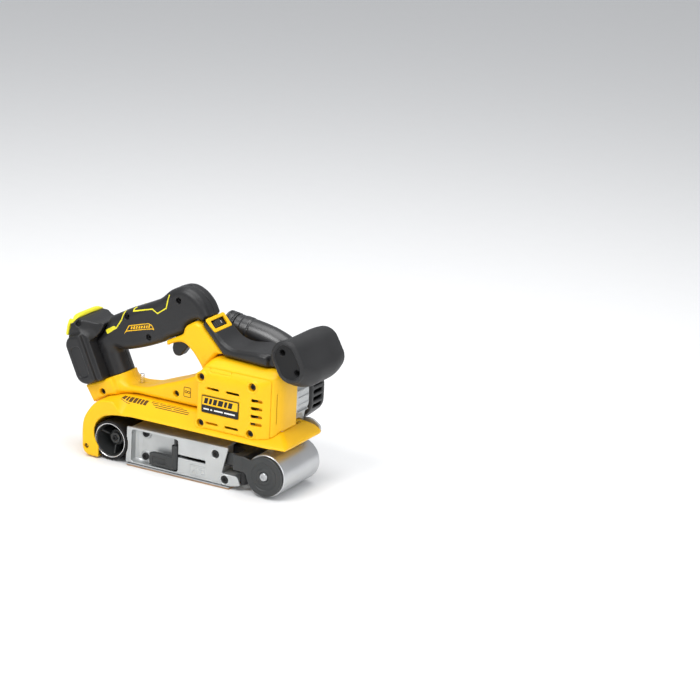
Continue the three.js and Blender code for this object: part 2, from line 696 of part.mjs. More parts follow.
function dustFan() {
  const profile = [[4.3, 56.5], [9, 56.5], [9, 60.2], [22, 60.2], [22, 61.4], [4.3, 61.4], [4.3, 56.5]];
  let fan = turned(profile, MOTOR);
  const [x, z] = MOTOR;
  for (let i = 0; i < 8; i++) {
    const angle = (i * Math.PI) / 4;
    const c = Math.cos(angle);
    const s = Math.sin(angle);
    const blade = [[8, -0.8], [21.5, 3.4], [21.5, 5], [8, 0.8]];
    fan = fan.add(prism("Y", blade.map(([a, b]) => [x + c * a - s * b, z + s * a + c * b]), 56.5, 60.6));
  }
  return fan;
}

// Frame, sole and guard.
add("belt_guard", beltGuard(), "yellow");
add("main_frame", mainFrame(), "casting");
add("left_side_plate", leftSidePlate(), "casting");
add("sole_pad", box(SOLE_BACK, SOLE_FRONT, -39, 37.4, 0, SOLE_PAD - 0.05), "cork");
add("sole_plate", box(SOLE_BACK, SOLE_FRONT, -39, 37.4, SOLE_PAD, SOLE_PAD + SOLE_STEEL), "steel");
add("lever_pin", rod("Z", 2, 4.1, 42.3, LEVER_PIVOT, 14), "steel");
add("tension_spring", tensionSpring(), "steel");
[[41, 37], [41, 11]].forEach((place, i) => {
  add("frame_screw_" + (i + 1), screw(place, -30.5, -27.2, 4), "darkSteel");
});
[[133.7, 35.8, -37.6, -36.2], [146, 9.6, -37.6, -34.7]].forEach(([x, z, top, seat], i) => {
  add("frame_screw_" + (i + 3), screw([x, z], top, seat, 4), "darkSteel");
});

// Drive roller, its shaft and the toothed belt drive.
const near = -BELT_WIDTH / 2;
add("drive_hub", turned([
  [6, -24], [9, -24], [9, -15], [15.5, -12], [17, near], [19.2, near], [19.2, 37.2], [16, 37.2],
  [16, 8], [6, 8], [6, -24],
], DRIVE, 28), "silver");
add("drive_tyre", ring(19.3, DRIVE_RADIUS, near, -near, DRIVE, 32), "rubber");
add("drive_shaft", rod("Y", 5.7, -27, PULLEY_LEFT + 0.4, DRIVE), "steel");
add("drive_bearing", ring(7, 12.6, PLATE_RIGHT + 0.1, PLATE_LEFT + 3, DRIVE), "steel");
add("driven_pulley", toothed(DRIVEN_TEETH, PULLEY_RIGHT, PULLEY_LEFT, DRIVE, 6), "darkSteel");
const drivenRadius = (DRIVEN_TEETH * TOOTH_PITCH) / (2 * Math.PI) + 0.5;
const motorRadius = (MOTOR_TEETH * TOOTH_PITCH) / (2 * Math.PI) + 0.5;
add("drive_belt", prism("Y", beltOutline(DRIVE, drivenRadius + 1.3, MOTOR, motorRadius + 1.3), 46, 54)
  .subtract(prism("Y", beltOutline(DRIVE, drivenRadius, MOTOR, motorRadius), 40, 60)), "rubber");

// Motor.
add("motor_housing", motorHousing(), "yellow");
add("motor_end_cover", motorEndCover(), "yellow");
add("gear_case", gearCase(), "casting");
add("drive_cover", driveCover(), "black");
const [plateX0, plateX1, plateZ0, plateZ1] = PLATE_BOX;
add("rating_plate", box(plateX0 + GAP, plateX1 - GAP, COVER_RIGHT + 0.2, COVER_RIGHT + 1, plateZ0 + GAP,
  plateZ1 - GAP), "black");
END_SCREWS.forEach((place, i) => {
  add("end_cover_screw_" + (i + 1), screw(place, -37, -34.8, 3.5), "darkSteel");
});
add("stator", ring(18, 30.4, -24, 18, MOTOR, 28), "steel");
add("rotor", turned([[0, -35], [4, -35], [4, -20], [16.8, -20], [16.8, 15], [4, 15], [4, 63.5], [0, 63.5]],
  MOTOR, 20), "steel");
add("rear_bearing", ring(4.4, 9, -35.4, -29.8, MOTOR, 20), "steel");
add("front_bearing", ring(4.4, 10, 22, 29, MOTOR, 20), "steel");
add("motor_pulley", toothed(MOTOR_TEETH, PULLEY_RIGHT, PULLEY_LEFT, MOTOR, 4.2), "darkSteel");
add("dust_fan", dustFan(), "black");

// Body, grip and covers.
const [bodyRight, bodyLeft] = halves(bodyForm());
const [gripRight, gripLeft] = halves(gripForm());
const BUTTON = [66, 157];
add("body_right", bodyRight, "yellow");
add("body_left", bodyLeft, "yellow");
add("grip_right", gripRight, "black");
add("grip_left", gripLeft.subtract(rod("Y", 5.4, 5, 40, BUTTON, 20)), "black");
add("top_cover", topCover(), "black");
add("dial_bezel", dialBezel(), "yellow");
add("speed_dial", dialSolid(DIAL_RADIUS, 8), "black");
add("controller_module", box(58, 97, -12.5, 12.5, 79, 88.5), "black");
add("switch_module", box(48, 76, -9.5, 6, 158.6, 173), "black");
add("battery_dock", batteryDock(), "black");
add("battery_rim", batteryRim(), "lime");
add("terminal_block", prism("Y", dockOutline([[12, 1.3], [12, 6], [34, 6], [34, 1.3]]), -14, 14), "black");
[[3.1, 157.6], [31.1, 139.4], [68, 187.5]].forEach((place, i) => {
  add("grip_screw_" + (i + 1), screw(place, -GRIP_HALF - 0.9, -GRIP_HALF - 0.05, 3), "darkSteel");
});

// Controls that move in the body.
add("trigger", trigger(), "black");
add("lock_button", rod("Y", 5, 11, GRIP_HALF + 3.2, BUTTON, 18), "black");
add("hex_key", hexKey(), "darkSteel");

// Front roller and belt tension.
add("slide_bar", box(112, 158, -12, 12, 26, 39), "darkSteel");
add("idler_fork", idlerFork(), "darkSteel");
add("idler_axle", rod("Y", 4.5, -42, 41.4, IDLER), "silver");
add("idler_roller", turned([
  [4.9, near], [12, near], [13, near + 3], [20, near + 3], [21, near], [IDLER_RADIUS, near],
  [IDLER_RADIUS, -near], [21, -near], [20, -near - 3], [13, -near - 3], [12, -near], [4.9, -near],
  [4.9, near],
], IDLER, 30), "silver");
add("tension_lever", tensionLever(), "darkSteel");
const trackingGrip = rod("Z", 4, 7.5, 23.8, [166.5, -31], 16);
add("tracking_knob", trackingGrip.add(rod("Z", 2, 20, 29, [166.5, -31], 12)), "black");

// Front handle and dust duct.
add("front_knob", frontKnob(), "rubber");
add("knob_pin", rod("Y", 3, -25, 25, KNOB_PIVOT, 16), "steel");
add("dust_duct", swept(ringSection(DUCT_RADIUS, DUCT_BORE), DUCT_PATH, 11), "black");
add("dust_collar", dustCollar(), "black");

group.position.x = -SOLE_MIDDLE;

export default group;
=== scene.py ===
"""The looks of a cordless belt sander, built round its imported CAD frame.

Lengths in this file are millimetres in the tool's side view: X forward from the drive roller's
axis, Y to the tool's left and Z up from the sole. Each moulded or cast piece is a distance field,
rounded and filleted exactly, and meshed on a grid; turned pieces are lathed.
"""
import functools
import math

import bmesh
import bpy
import numpy as np
from mathutils import Matrix, Vector


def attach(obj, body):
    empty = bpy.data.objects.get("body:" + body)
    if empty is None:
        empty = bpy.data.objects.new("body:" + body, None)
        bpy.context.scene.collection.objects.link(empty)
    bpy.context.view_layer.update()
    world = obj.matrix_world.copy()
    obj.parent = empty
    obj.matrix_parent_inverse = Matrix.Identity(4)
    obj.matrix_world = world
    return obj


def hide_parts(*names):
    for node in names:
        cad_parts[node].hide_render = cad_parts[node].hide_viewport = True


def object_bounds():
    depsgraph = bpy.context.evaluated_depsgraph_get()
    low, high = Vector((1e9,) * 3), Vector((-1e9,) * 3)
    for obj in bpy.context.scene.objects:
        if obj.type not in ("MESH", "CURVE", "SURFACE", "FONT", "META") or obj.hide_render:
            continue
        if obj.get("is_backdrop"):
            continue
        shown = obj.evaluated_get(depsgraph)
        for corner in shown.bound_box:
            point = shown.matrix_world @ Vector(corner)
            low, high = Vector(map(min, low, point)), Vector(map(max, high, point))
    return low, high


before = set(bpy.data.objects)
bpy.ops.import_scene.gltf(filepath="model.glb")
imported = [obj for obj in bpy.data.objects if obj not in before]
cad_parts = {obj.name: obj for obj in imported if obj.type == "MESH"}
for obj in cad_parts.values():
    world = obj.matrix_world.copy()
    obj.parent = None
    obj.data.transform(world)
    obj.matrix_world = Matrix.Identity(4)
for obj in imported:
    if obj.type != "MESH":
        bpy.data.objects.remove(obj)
cad_low, cad_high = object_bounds()

SOLE_MIDDLE = 87.7
DRIVE = (0, 22.7)
IDLER = (195.34, 24.2)
MOTOR = (150, 92)
MOTOR_BORE = 31
MOTOR_FLANGE = 34
COVER_SEAM = -32
GEAR_SEAM = 7
FENDER_SCREW = (-28, 11.5)
BUTTON = (66, 157)
KNOB_SCREW = (166.5, -31)
KEY_PLACE = (15.5, 0)
LEVER_PIVOT = (82, -34)
KNOB_CENTRE = (216.6, 153.6)
KNOB_TILT = math.radians(-60.5)
KNOB_PIVOT = (207, 148.5)
DIAL_CENTRE = (103, 161.6)
DIAL_SLOPE = math.radians(-47.5)
DIAL_ROOM = (10.8, 4.7)
POCKET_HALF = 7.3
DOCK_ORIGIN = (-27, 80.6)
DOCK_TILT = math.radians(25)
COLUMN_BACK = 12.4
COLUMN_FLAT = 19.5
RIM_DEPTH = 3.2
GAP = 0.15

SENSOR_MM = 36
IMAGE_PIXELS = 700
FOCAL_PIXELS = 2794.93
CAMERA_PLACE = (1.48412, -2.42585, 1.03109)
CAMERA_ANGLES = (28.25, 17.4, 2.91)


# ---- distance fields

def both(a, b, r=0.0):
    """Where both solids are, with the edge between them rounded."""
    if not r:
        return np.maximum(a, b)
    u, v = np.maximum(a + r, 0), np.maximum(b + r, 0)
    return np.minimum(-r, np.maximum(a, b)) + np.sqrt(u * u + v * v)


def either(a, b, r=0.0):
    """Where either solid is, with a fillet between them."""
    if not r:
        return np.minimum(a, b)
    return -both(-a, -b, r)


def without(a, b, r=0.0):
    return both(a, -b, r)


def any_of(fields):
    """Where any of several solids is."""
    return functools.reduce(np.minimum, fields)


def slab(v, low, high):
    return np.abs(v - (low + high) / 2) - (high - low) / 2


def disc(a, b, centre, radius):
    return np.hypot(a - centre[0], b - centre[1]) - radius


def bored(form, p, spots, radius, floor, r=0.0):
    """A form with blind round holes from its near side, at points of the side view."""
    for spot in spots:
        form = without(form, both(disc(p[0], p[2], spot, radius), p[1] - floor), r)
    return form


def outline(corners, steps=6):
    """Points of a closed outline, where a corner's third number rounds it off from that far."""
    points = []
    for i, (a, b, *cut) in enumerate(corners):
        corner = np.array([a, b], float)
        before = np.array(corners[i - 1][:2], float) - corner
        after = np.array(corners[(i + 1) % len(corners)][:2], float) - corner
        back, ahead = np.hypot(*before), np.hypot(*after)
        room = min(cut[0] if cut else 0, 0.49 * back, 0.49 * ahead)
        if not room:
            points.append(corner)
            continue
        start, end = corner + before * room / back, corner + after * room / ahead
        for t in np.linspace(0, 1, steps):
            points.append((1 - t) ** 2 * start + 2 * t * (1 - t) * corner + t * t * end)
    return np.array(points)


def oblong(a0, a1, b0, b1, cut=0, slant=0):
    """A rectangle's corners, rounded off by a cut, or slanted."""
    return [(a0, b0, cut), (a0 + slant, b1, cut), (a1 + slant, b1, cut), (a1, b0, cut)]


def area(corners, a, b):
    """Signed distance from a closed outline."""
    points = outline(corners)
    nearest, inside = np.inf, False
    for (p, q), (s, t) in zip(points, np.roll(points, -1, 0)):
        ex, ey = s - p, t - q
        px, py = a - p, b - q
        along = np.clip((px * ex + py * ey) / (ex * ex + ey * ey + 1e-12), 0, 1)
        d = (px - along * ex) ** 2 + (py - along * ey) ** 2
        nearest = np.minimum(nearest, d)
        if q == t:
            continue
        crossed = ((q > b) != (t > b)) & (px < ex * py / ey)
        inside = inside ^ crossed
    return np.where(inside, -1, 1) * np.sqrt(nearest)


def stroke(points, a, b):
    """Distance from an open line of points."""
    nearest = np.inf
    for (p, q), (s, t) in zip(points[:-1], points[1:]):
        ex, ey = s - p, t - q
        px, py = a - p, b - q
        along = np.clip((px * ex + py * ey) / (ex * ex + ey * ey), 0, 1)
        d = (px - along * ex) ** 2 + (py - along * ey) ** 2
        nearest = np.minimum(nearest, d)
    return np.sqrt(nearest)


def block(p, x, y, z, r=0.0):
    """A box from its (low, high) along each axis."""
    return both(both(slab(p[0], *x), slab(p[1], *y), r), slab(p[2], *z), r)


def turned_pair(v, w, angle, centre):
    """Coordinates along and square to a line at an angle through the centre."""
    c, s = math.cos(angle), math.sin(angle)
    a, b = v - centre[0], w - centre[1]
    return c * a + s * b, c * b - s * a


# ---- meshes

def net(field, low, step):
    """Vertices, faces and normals of the surface where a sampled field is 0 (surface nets)."""
    inside = field < 0
    cells = np.array(field.shape) - 1
    ids, places, quads = [], [], []
    for axis in range(3):
        one = np.eye(3, dtype=int)
        first = [slice(None)] * 3
        second = [slice(None)] * 3
        first[axis], second[axis] = slice(None, -1), slice(1, None)
        edges = np.argwhere(inside[tuple(first)] != inside[tuple(second)])
        start = field[tuple(edges.T)]
        end = field[tuple((edges + one[axis]).T)]
        place = edges + (start / (start - end))[:, None] * one[axis]
        b, c = one[(axis + 1) % 3], one[(axis + 2) % 3]
        around = [np.ravel_multi_index((edges - k).T, cells) for k in (b + c, c, 0 * c, b)]
        ids += around
        places += [place] * 4
        quad = np.stack(around, 1)
        outwards = start < 0
        quad[~outwards] = quad[~outwards][:, ::-1]
        quads.append(quad)
    ids, places = np.concatenate(ids), np.concatenate(places)
    used, index = np.unique(ids, return_inverse=True)
    count = np.bincount(index)
    points = np.stack([np.bincount(index, places[:, k]) / count for k in range(3)], 1)
    corner = np.array(np.unravel_index(used, cells)).T
    normal = np.zeros((len(used), 3))
    for di in (0, 1):
        for dj in (0, 1):
            for dk in (0, 1):
                i, j, k = (corner + (di, dj, dk)).T
                value = field[i, j, k]
                normal += value[:, None] * (2 * np.array([di, dj, dk]) - 1)
    normal /= np.linalg.norm(normal, axis=1)[:, None] + 1e-12
    quads = np.searchsorted(used, np.concatenate(quads))
    return points * step + np.array(low), quads, normal


def place(points):
    """Millimetres in the tool's side view to metres in the frame."""
    return (np.asarray(points, float) - (SOLE_MIDDLE, 0, 0)) / 1000


def add(name, data):
    made = bpy.data.objects.new(name, data)
    bpy.context.scene.collection.objects.link(made)
    return made


def new_object(name, points, faces, material, normals=None):
    mesh = bpy.data.meshes.new(name)
    mesh.from_pydata(place(points).tolist(), [], [list(map(int, face)) for face in faces])
    mesh.update()
    mesh.shade_smooth()
    if normals is not None:
        mesh.normals_split_custom_set_from_vertices(normals.tolist())
    mesh.materials.append(material)
    return add(name, mesh)


def finish_piece(made, body, slot_name, stands_for):
    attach(made, body)
    if stands_for:
        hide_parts(*stands_for)
    return made


def mould(name, material, field, low, high, step, stands_for=(), slot_name=None, body="frame"):
    """A piece meshed from its field over a box."""
    x, y, z = (np.arange(a, b + step, step) for a, b in zip(low, high))
    p = (x[:, None, None], y[None, :, None], z[None, None, :])
    off_zero = 1e-7
    values = np.broadcast_to(field(p), (len(x), len(y), len(z))) + off_zero
    points, faces, normals = net(values, low, step)
    made = new_object(name, points, faces, material, normals)
    return finish_piece(made, body, slot_name, stands_for)


def shade(made, degrees):
    """Faces out, doubles welded, and edges sharper than an angle kept sharp."""
    b = bmesh.new()
    b.from_mesh(made.data)
    bmesh.ops.remove_doubles(b, verts=b.verts, dist=1e-6)
    bmesh.ops.dissolve_degenerate(b, edges=b.edges, dist=1e-7)
    bmesh.ops.recalc_face_normals(b, faces=b.faces)
    limit = math.radians(degrees)
    for edge in b.edges:
        edge.smooth = not (len(edge.link_faces) == 2 and edge.calc_face_angle() > limit)
    b.to_mesh(made.data)
    b.free()


# ---- materials

def material(name, color, roughness, metallic=0.0, spread=0.08, grain=0.0, grain_scale=1600.0,
             stretch=(1, 1, 1), wear=0.0, shine=0.5):
    """A procedural finish: cloudy colour, fine grain in bump and roughness, and worn edges."""
    made = bpy.data.materials.new(name)
    made.use_nodes = True
    made.diffuse_color = (*color, 1)
    nodes, link = made.node_tree.nodes, made.node_tree.links.new

    def node(kind, inputs):
        new = nodes.new("ShaderNode" + kind)
        for key, value in inputs.items():
            new.inputs[key].default_value = value
        return new

    shader = nodes["Principled BSDF"].inputs
    shader["Metallic"].default_value = metallic
    shader["Specular IOR Level"].default_value = shine
    where = node("TexCoord", {}).outputs["Object"]
    cloud = node("TexNoise", {"Scale": 38, "Detail": 4})
    link(where, cloud.inputs["Vector"])
    tint = node("ValToRGB", {})
    for stop, at, change in zip(tint.color_ramp.elements, (0.3, 0.7), (1 - spread, 1 + spread)):
        stop.position = at
        stop.color = (*[min(1, c * change) for c in color], 1)
    link(cloud.outputs["Fac"], tint.inputs["Fac"])
    mapping = node("Mapping", {"Scale": stretch})
    fine = node("TexNoise", {"Scale": grain_scale, "Detail": 2})
    link(where, mapping.inputs["Vector"])
    link(mapping.outputs["Vector"], fine.inputs["Vector"])
    rough = node("MapRange", {
        "To Min": max(0.05, roughness - 0.09), "To Max": min(1, roughness + 0.09)})
    link(fine.outputs["Fac"], rough.inputs["Value"])
    link(rough.outputs["Result"], shader["Roughness"])
    if grain:
        bump = node("Bump", {"Strength": grain, "Distance": 0.0003})
        link(fine.outputs["Fac"], bump.inputs["Height"])
        link(bump.outputs["Normal"], shader["Normal"])
    colored = tint.outputs["Color"]
    if wear:
        edge = node("NewGeometry", {})
        worn = node("MapRange", {"From Min": 0.52, "From Max": 0.62, "To Max": wear})
        link(edge.outputs["Pointiness"], worn.inputs["Value"])
        mix = nodes.new("ShaderNodeMix")
        mix.data_type = "RGBA"
        mix.inputs["B"].default_value = (*[min(1, c * 1.5 + 0.08) for c in color], 1)
        link(worn.outputs["Result"], mix.inputs["Factor"])
        link(colored, mix.inputs["A"])
        colored = mix.outputs["Result"]
    link(colored, shader["Base Color"])
    return made


YELLOW = material("yellow_plastic", (0.90, 0.50, 0.004), 0.40, grain=0.12, wear=0.2, spread=0.03,
                  shine=0.3)
LIME = material("lime_plastic", (0.78, 0.70, 0.03), 0.45, grain=0.1, spread=0.04, shine=0.3)
BLACK = material("black_plastic", (0.0135, 0.0135, 0.0145), 0.42, grain=0.3, wear=0.2, spread=0.12,
                 shine=0.4)
GLOSS = material("black_duct_plastic", (0.012, 0.012, 0.013), 0.34, grain=0.05, wear=0.03,
                 spread=0.1, shine=0.7)
RUBBER = material("soft_rubber", (0.016, 0.016, 0.017), 0.55, grain=0.5, spread=0.15, wear=0.15,
                  shine=0.4)
TYRE = material("drive_tyre_rubber", (0.010, 0.010, 0.0105), 0.7, grain=0.6, spread=0.2, shine=0.3)
CAST = material("cast_aluminium", (0.50, 0.515, 0.515), 0.42, 0.7, grain=0.35, grain_scale=900,
                spread=0.07, wear=0.35)
BRUSHED = material("turned_aluminium", (0.56, 0.57, 0.58), 0.36, 0.85, grain=0.15,
                   grain_scale=700, stretch=(0.03, 4, 0.03), spread=0.04)
BRIGHT = material("bright_ring", (0.80, 0.80, 0.81), 0.25, 0.9, grain=0.05, spread=0.03)
STEEL = material("ground_steel", (0.46, 0.47, 0.48), 0.36, 1.0, grain=0.1,
                 stretch=(1, 0.05, 1), spread=0.06)
DARK = material("dark_steel", (0.016, 0.0165, 0.017), 0.45, 0.3, grain=0.3, spread=0.12, wear=0.3,
                shine=0.3)
CUP = material("dark_cast_cup", (0.035, 0.037, 0.037), 0.5, 0.3, grain=0.4, spread=0.2, wear=0.3)
FORK = material("painted_fork", (0.036, 0.038, 0.038), 0.46, 0.2, grain=0.4, spread=0.1, wear=0.3)
# near-black painted shade: it darkens the screw heads at the bottom of the handle's pits to stand
# in for the shade inside them
PAINTED_PIT_SHADE = material("painted_shade_screw_recess", (0.003, 0.003, 0.003), 0.6, grain=0.2, shine=0.15)
CORK = material("cork_pad", (0.36, 0.22, 0.12), 0.85, grain=0.9, grain_scale=700, spread=0.3)
INK = material("label_black", (0.010, 0.010, 0.011), 0.38, grain=0.1, spread=0.1, shine=0.3)
WHITE = material("mark_white", (0.80, 0.80, 0.78), 0.45, spread=0.02)


# ---- shared outlines

def dock(up, back, *cut):
    """A point of the side view given up the dock's tilt and square to it (backwards)."""
    c, s = math.cos(DOCK_TILT), math.sin(DOCK_TILT)
    return (DOCK_ORIGIN[0] - s * up - c * back, DOCK_ORIGIN[1] + c * up - s * back, *cut)


def along_dock(x, z):
    """Coordinates up the dock's tilt and square to it (backwards)."""
    return turned_pair(x, z, math.pi / 2 + DOCK_TILT, DOCK_ORIGIN)


def raised_deck(offset):
    return [
        (-42 - offset, 30), (-42 - offset, 58 + offset, 3), (-30, 65.2 + offset, 6),
        (-20, 74 + offset, 8), (22, 74 + offset, 10), (37.4 + offset, 65 + offset, 3),
        (37.4 + offset, 30),
    ]


GUARD_SIDE = [
    (-12.3, 1.2, 1), (-27.5, 1.2, 5), (-33.4, 7.5, 6), (-34.5, 28, 12), (-33.2, 43, 9),
    (-24, 57.5, 9), (-14, 67, 9), (16, 74, 12), (200, 74, 10), (219.5, 60.5, 3), (219.5, 56.4, 1),
    (205, 56), (100, 20), (0, 20),
]
PASSAGE = [
    (-8, 40), (-5, 49, 4), (4.7, 53.6, 5), (30, 56, 6), (240, 56), (240, -5), (-12.3, -5),
    (-12.3, 13),
]
HOLLOW = [
    (-39, 40), (-39, 56.6, 2), (-28.5, 62.4, 3), (-19, 71, 4), (21, 71, 6), (34.4, 62), (34.4, 40),
]
BLOCK_SIDE = [
    (107, 40), (107, 122, 9), (119, 138, 7), (197, 138, 5), (205, 130, 4), (205.6, 40),
]
BLOCK_SECTION = [
    (-38, 40), (-38, 117, 9), (-32.5, 129, 9), (-22, 138, 6), (60, 138), (60, 40),
]
BLOCK_PLAN = [(106, -38), (179, -38, 9), (199, -32, 7), (206, -18, 8), (206, 60), (106, 60)]
BODY_SIDE = [
    (106.7, 74.6), (18, 74.6, 4), (-13, 67.8, 5), (-31, 56.5, 2), dock(0, 16.6), dock(0, -19),
    (-4, 83.5, 2), (12, 81.8, 7), (24, 83, 7), (33, 84.4, 8), (50, 91.2, 10), (66, 97, 10),
    (80, 103, 10), (92, 109, 8), (102, 116.5, 8), (97.5, 124, 7), (87.5, 136.2, 7),
    (76.6, 143.4, 7), (66, 141.4, 6), (56, 135.6, 1.2), (54.6, 140.7, 1.2), (65.7, 146.6, 4),
    (75.5, 152, 3), (77.5, 161.2, 5), (90.5, 169.4, 6), (97.8, 166.8, 1), (126.2, 139.9),
    (117.8, 137.6), (106.7, 122.2),
]
HEEL_SIDE = [dock(0, -19), (-2.5, 76), (-3, 70.4), (-13, 67.8), (-31, 56.5), dock(0, 16.6)]
GRIP_SIDE = [
    dock(31, -12.4), dock(29, -28), (1, 118.6), (15, 122.5, 9), (31, 128.5, 9), (48.5, 136.6, 8),
    (54, 141.2, 3), (65.4, 147.1, 4), (75.1, 152.5, 3), (77.1, 161.7, 5), (90.3, 169.9, 6),
    (98.2, 167.4, 1), (102.2, 173.2, 3), (104.5, 176, 5), (99, 187.2, 12), (87.5, 198, 14),
    (72, 203.3, 16), (54, 196, 14), (43, 183.8, 12), (22, 173.3, 16), (-3, 162, 16),
    (-20, 152.5, 4), dock(61, -35, 2), dock(50, -22.4, 4), dock(44, -12.4),
]
POCKET = [(50.5, 118), (50.5, 158), (89, 158), (89, 138), (82, 133), (82, 118)]
TRIGGER_SIDE = [
    (57.5, 139, 4), (55.2, 130, 6), (58.8, 122.6, 5), (66.5, 122.6, 7), (74, 133.6, 6),
    (80, 138.5, 2), (86, 142, 3), (86.5, 149, 4), (80, 153, 4), (62, 152.5, 4),
]


def under_deck(p):
    """All that lies under the guard's deck and its sloping ends, with a gap over them."""
    x, y, z = p
    slopes = area([
        (-60, 10), (-34.7, 43), (-24.3, 57.7, 9), (-14.3, 67.2, 9), (16, 74.3, 12),
        (200.2, 74.3, 10), (231, 53), (231, -20), (-60, -20)], x, z)
    return both(area(raised_deck(0.3), y, z), slopes)


def dial_drum(p, radius, half):
    """The dial's drum, on the neck's slope."""
    x, y, z = p
    along, out = turned_pair(x, z, DIAL_SLOPE, DIAL_CENTRE)
    return both(np.hypot(out, y) - radius, np.abs(along) - half, 0.6)


# ---- guard and frame

def belt_guard(p):
    x, y, z = p
    fender = both(slab(y, -42, 37.4), both(x - 9, z - 69, 8), 1)
    section = both(either(area(raised_deck(0), y, z), fender, 9), slab(y, -42, 37.4))
    form = both(area(GUARD_SIDE, x, z), section, 3.2)
    form = without(form, both(disc(x, z, DRIVE, 25), -39 - y), 1.2)
    form = without(form, both(disc(x, z, (3.5, 30), 22), y), 1.4)
    form = without(form, area(PASSAGE, x, z), 1)
    form = without(form, both(area(HOLLOW, y, z), slab(x, 12, 203)), 0.6)
    form = without(form, both(disc(x, z, MOTOR, 34.4), -33 - y), 0.5)
    return bored(form, p, [FENDER_SCREW], 2.9, -38.6, 0.7)


def left_side_plate(p):
    x, y, z = p
    side = [
        (-34, 38, 8), (-31, 54, 8), (-16, 65, 8), (108, 66, 4), (196, 69.8, 4), (207, 70.4, 7),
        (217.5, 63, 7), (217, 54, 6), (200, 52, 6), (158, 51, 7), (152.5, 44, 6), (151, 8, 5),
        (146, 4, 3), (-8, 3, 9), (-26, 10, 10),
    ]
    plate = both(area(side, x, z), slab(y, 37.8, 41), 1.2)
    plate = without(plate, both(disc(x, z, DRIVE, 13), -30 - y), 0.6)
    for x0, x1 in ((24, 58), (64, 98), (104, 143)):
        plate = without(plate, both(area(oblong(x0, x1, 9, 40, 4), x, z), 39.6 - y), 0.7)
    return plate


def main_frame(p):
    x, y, z = p
    right, left = -38, 37.4
    near = [
        (20.9, 3.2, 1), (21.6, 43.8, 1.5), (149.5, 45.6, 2), (142, 16.3, 1), (161.2, 16, 3),
        (165.3, 6.2, 2), (153, 3.2, 1),
    ]
    nose = [(141, 3.2), (141, 16.2), (156, 16, 2), (157, 8, 1), (152, 3.2)]
    form = both(both(slab(x, 26, 142), slab(z, 3.2, 43.8), 1), slab(y, right, left), 1)
    form = either(form, both(area(near, x, z), slab(y, right, right + 2.6), 0.9), 0.6)
    form = either(form, both(area(nose, x, z), slab(y, right + 0.5, left), 0.6))
    form = without(form, disc(x, z, DRIVE, 23.4), 0.5)
    cavity = [(30, 60), (30, -24), (91, -24), (91, -34.6), (138.5, -34.6), (138.5, 60)]
    form = without(form, both(area(cavity, x, y), slab(z, 7, 40.5)), 0.5)
    recess = [(27.4, -60), (27.4, -27, 14), (87.2, -27, 2), (87.2, -60)]
    form = without(form, both(area(recess, x, y), slab(z, 5, 41.5), 3.5), 1.0)
    form = without(form, block(p, (86.6, 121.7), (-60, -20), (22, 25.5), 1), 0.5)
    form = without(form, block(p, (136, 160), (-14, 14), (24, 41.2)), 0.3)
    form = without(form, block(p, (128, 160), (-35.4, -28.5), (22.8, 41.4)), 0.3)
    for (a, b), depth in (((133.7, 35.8), 2), ((146, 9.6), 3.5)):
        form = either(form, both(disc(x, z, (a, b), 6.2), slab(y, right - 0.35, right + 2)), 0.5)
        form = without(form, both(disc(x, z, (a, b), 4.5), y - right - depth), 0.4)
    for a, b in ((41, 37), (41, 11)):
        form = either(form, both(disc(x, z, (a, b), 5.6), slab(y, -28.6, -26)), 0.8)
    signs = np.abs(area(oblong(103, 123, 6, 18.5, 1.5), x, z) + 0.8) - 0.6
    for line in ([(106, 9), (112, 15), (112, 10)],
                 [(114.5, 15.5), (120, 15.5), (115.5, 9), (120.5, 9)]):
        signs = np.minimum(signs, stroke(line, x, z) - 0.7)
    form = either(form, both(signs, slab(y, right - 0.7, right + 1)), 0.2)
    return without(form, np.maximum(disc(x, y, LEVER_PIVOT, 2.3), slab(z, 3.8, 42.6)))


mould("guard_shell", YELLOW, belt_guard, (-39, -46, -1), (224, 42, 79), 1.25,
      ["belt_guard"], "yellow")
mould("side_casting", CAST, left_side_plate, (-38, 35, 0), (221, 44, 74), 1.0,
      ["left_side_plate"], "casting")
mould("frame_casting", CAST, main_frame, (18, -41, 1), (168, 40, 48), 0.8,
      ["main_frame"], "casting")


# ---- motor block

END_SCREWS = [(112, 117), (175, 118), (113, 66.4), (174, 66.4)]


def motor_block(p):
    x, y, z = p
    form = both(area(BLOCK_SIDE, x, z), area(BLOCK_SECTION, y, z), 5)
    form = both(form, area(BLOCK_PLAN, x, y), 2)
    return without(form, under_deck(p))


def scoop(p, x0, x1, z0, z1):
    """A vent: a slot whose lower lip is scooped out towards the front."""
    slot = block(p, (x0, x1), (-60, -20), (z0, z1), 1.2)
    lip = block(p, (x0 - 0.6, x1 + 1.5), (-60, -36.6), (z0 - 1.6, z1), 1.5)
    return either(slot, lip, 1)


VENTS = [(174, 187, 76 + 8.6 * i, 79.4 + 8.6 * i) for i in range(4)]
VENTS += [(a, b, c, c + 2.4) for a, b in ((119, 134), (143, 159)) for c in (66.4, 104.9)]


def end_cover(p):
    x, y, z = p
    form = both(motor_block(p), y - COVER_SEAM + GAP, 0.5)
    form = without(form, both(disc(x, z, MOTOR, 29), slab(y, -35, 0)))
    for vent in VENTS:
        form = without(form, scoop(p, *vent), 0.5)
    for a, b in END_SCREWS:
        form = either(form, both(disc(x, z, (a, b), 6.2), slab(y, -38, -33), 0.5), 1.5)
        form = without(form, both(disc(x, z, (a, b), 4.3), y + 33), 1.5)
    form = without(form, under_deck(p))
    form = without(form, both(area(oblong(114, 160, 79, 98.5, 1), x, z), y + 36.8), 0.4)
    ledge = area(oblong(121, 147, 123.6, 128.4, 2), x, z)
    line = both(np.abs(ledge) - 0.45, -(motor_block(p) + 0.6))
    return without(form, line, 0.2)


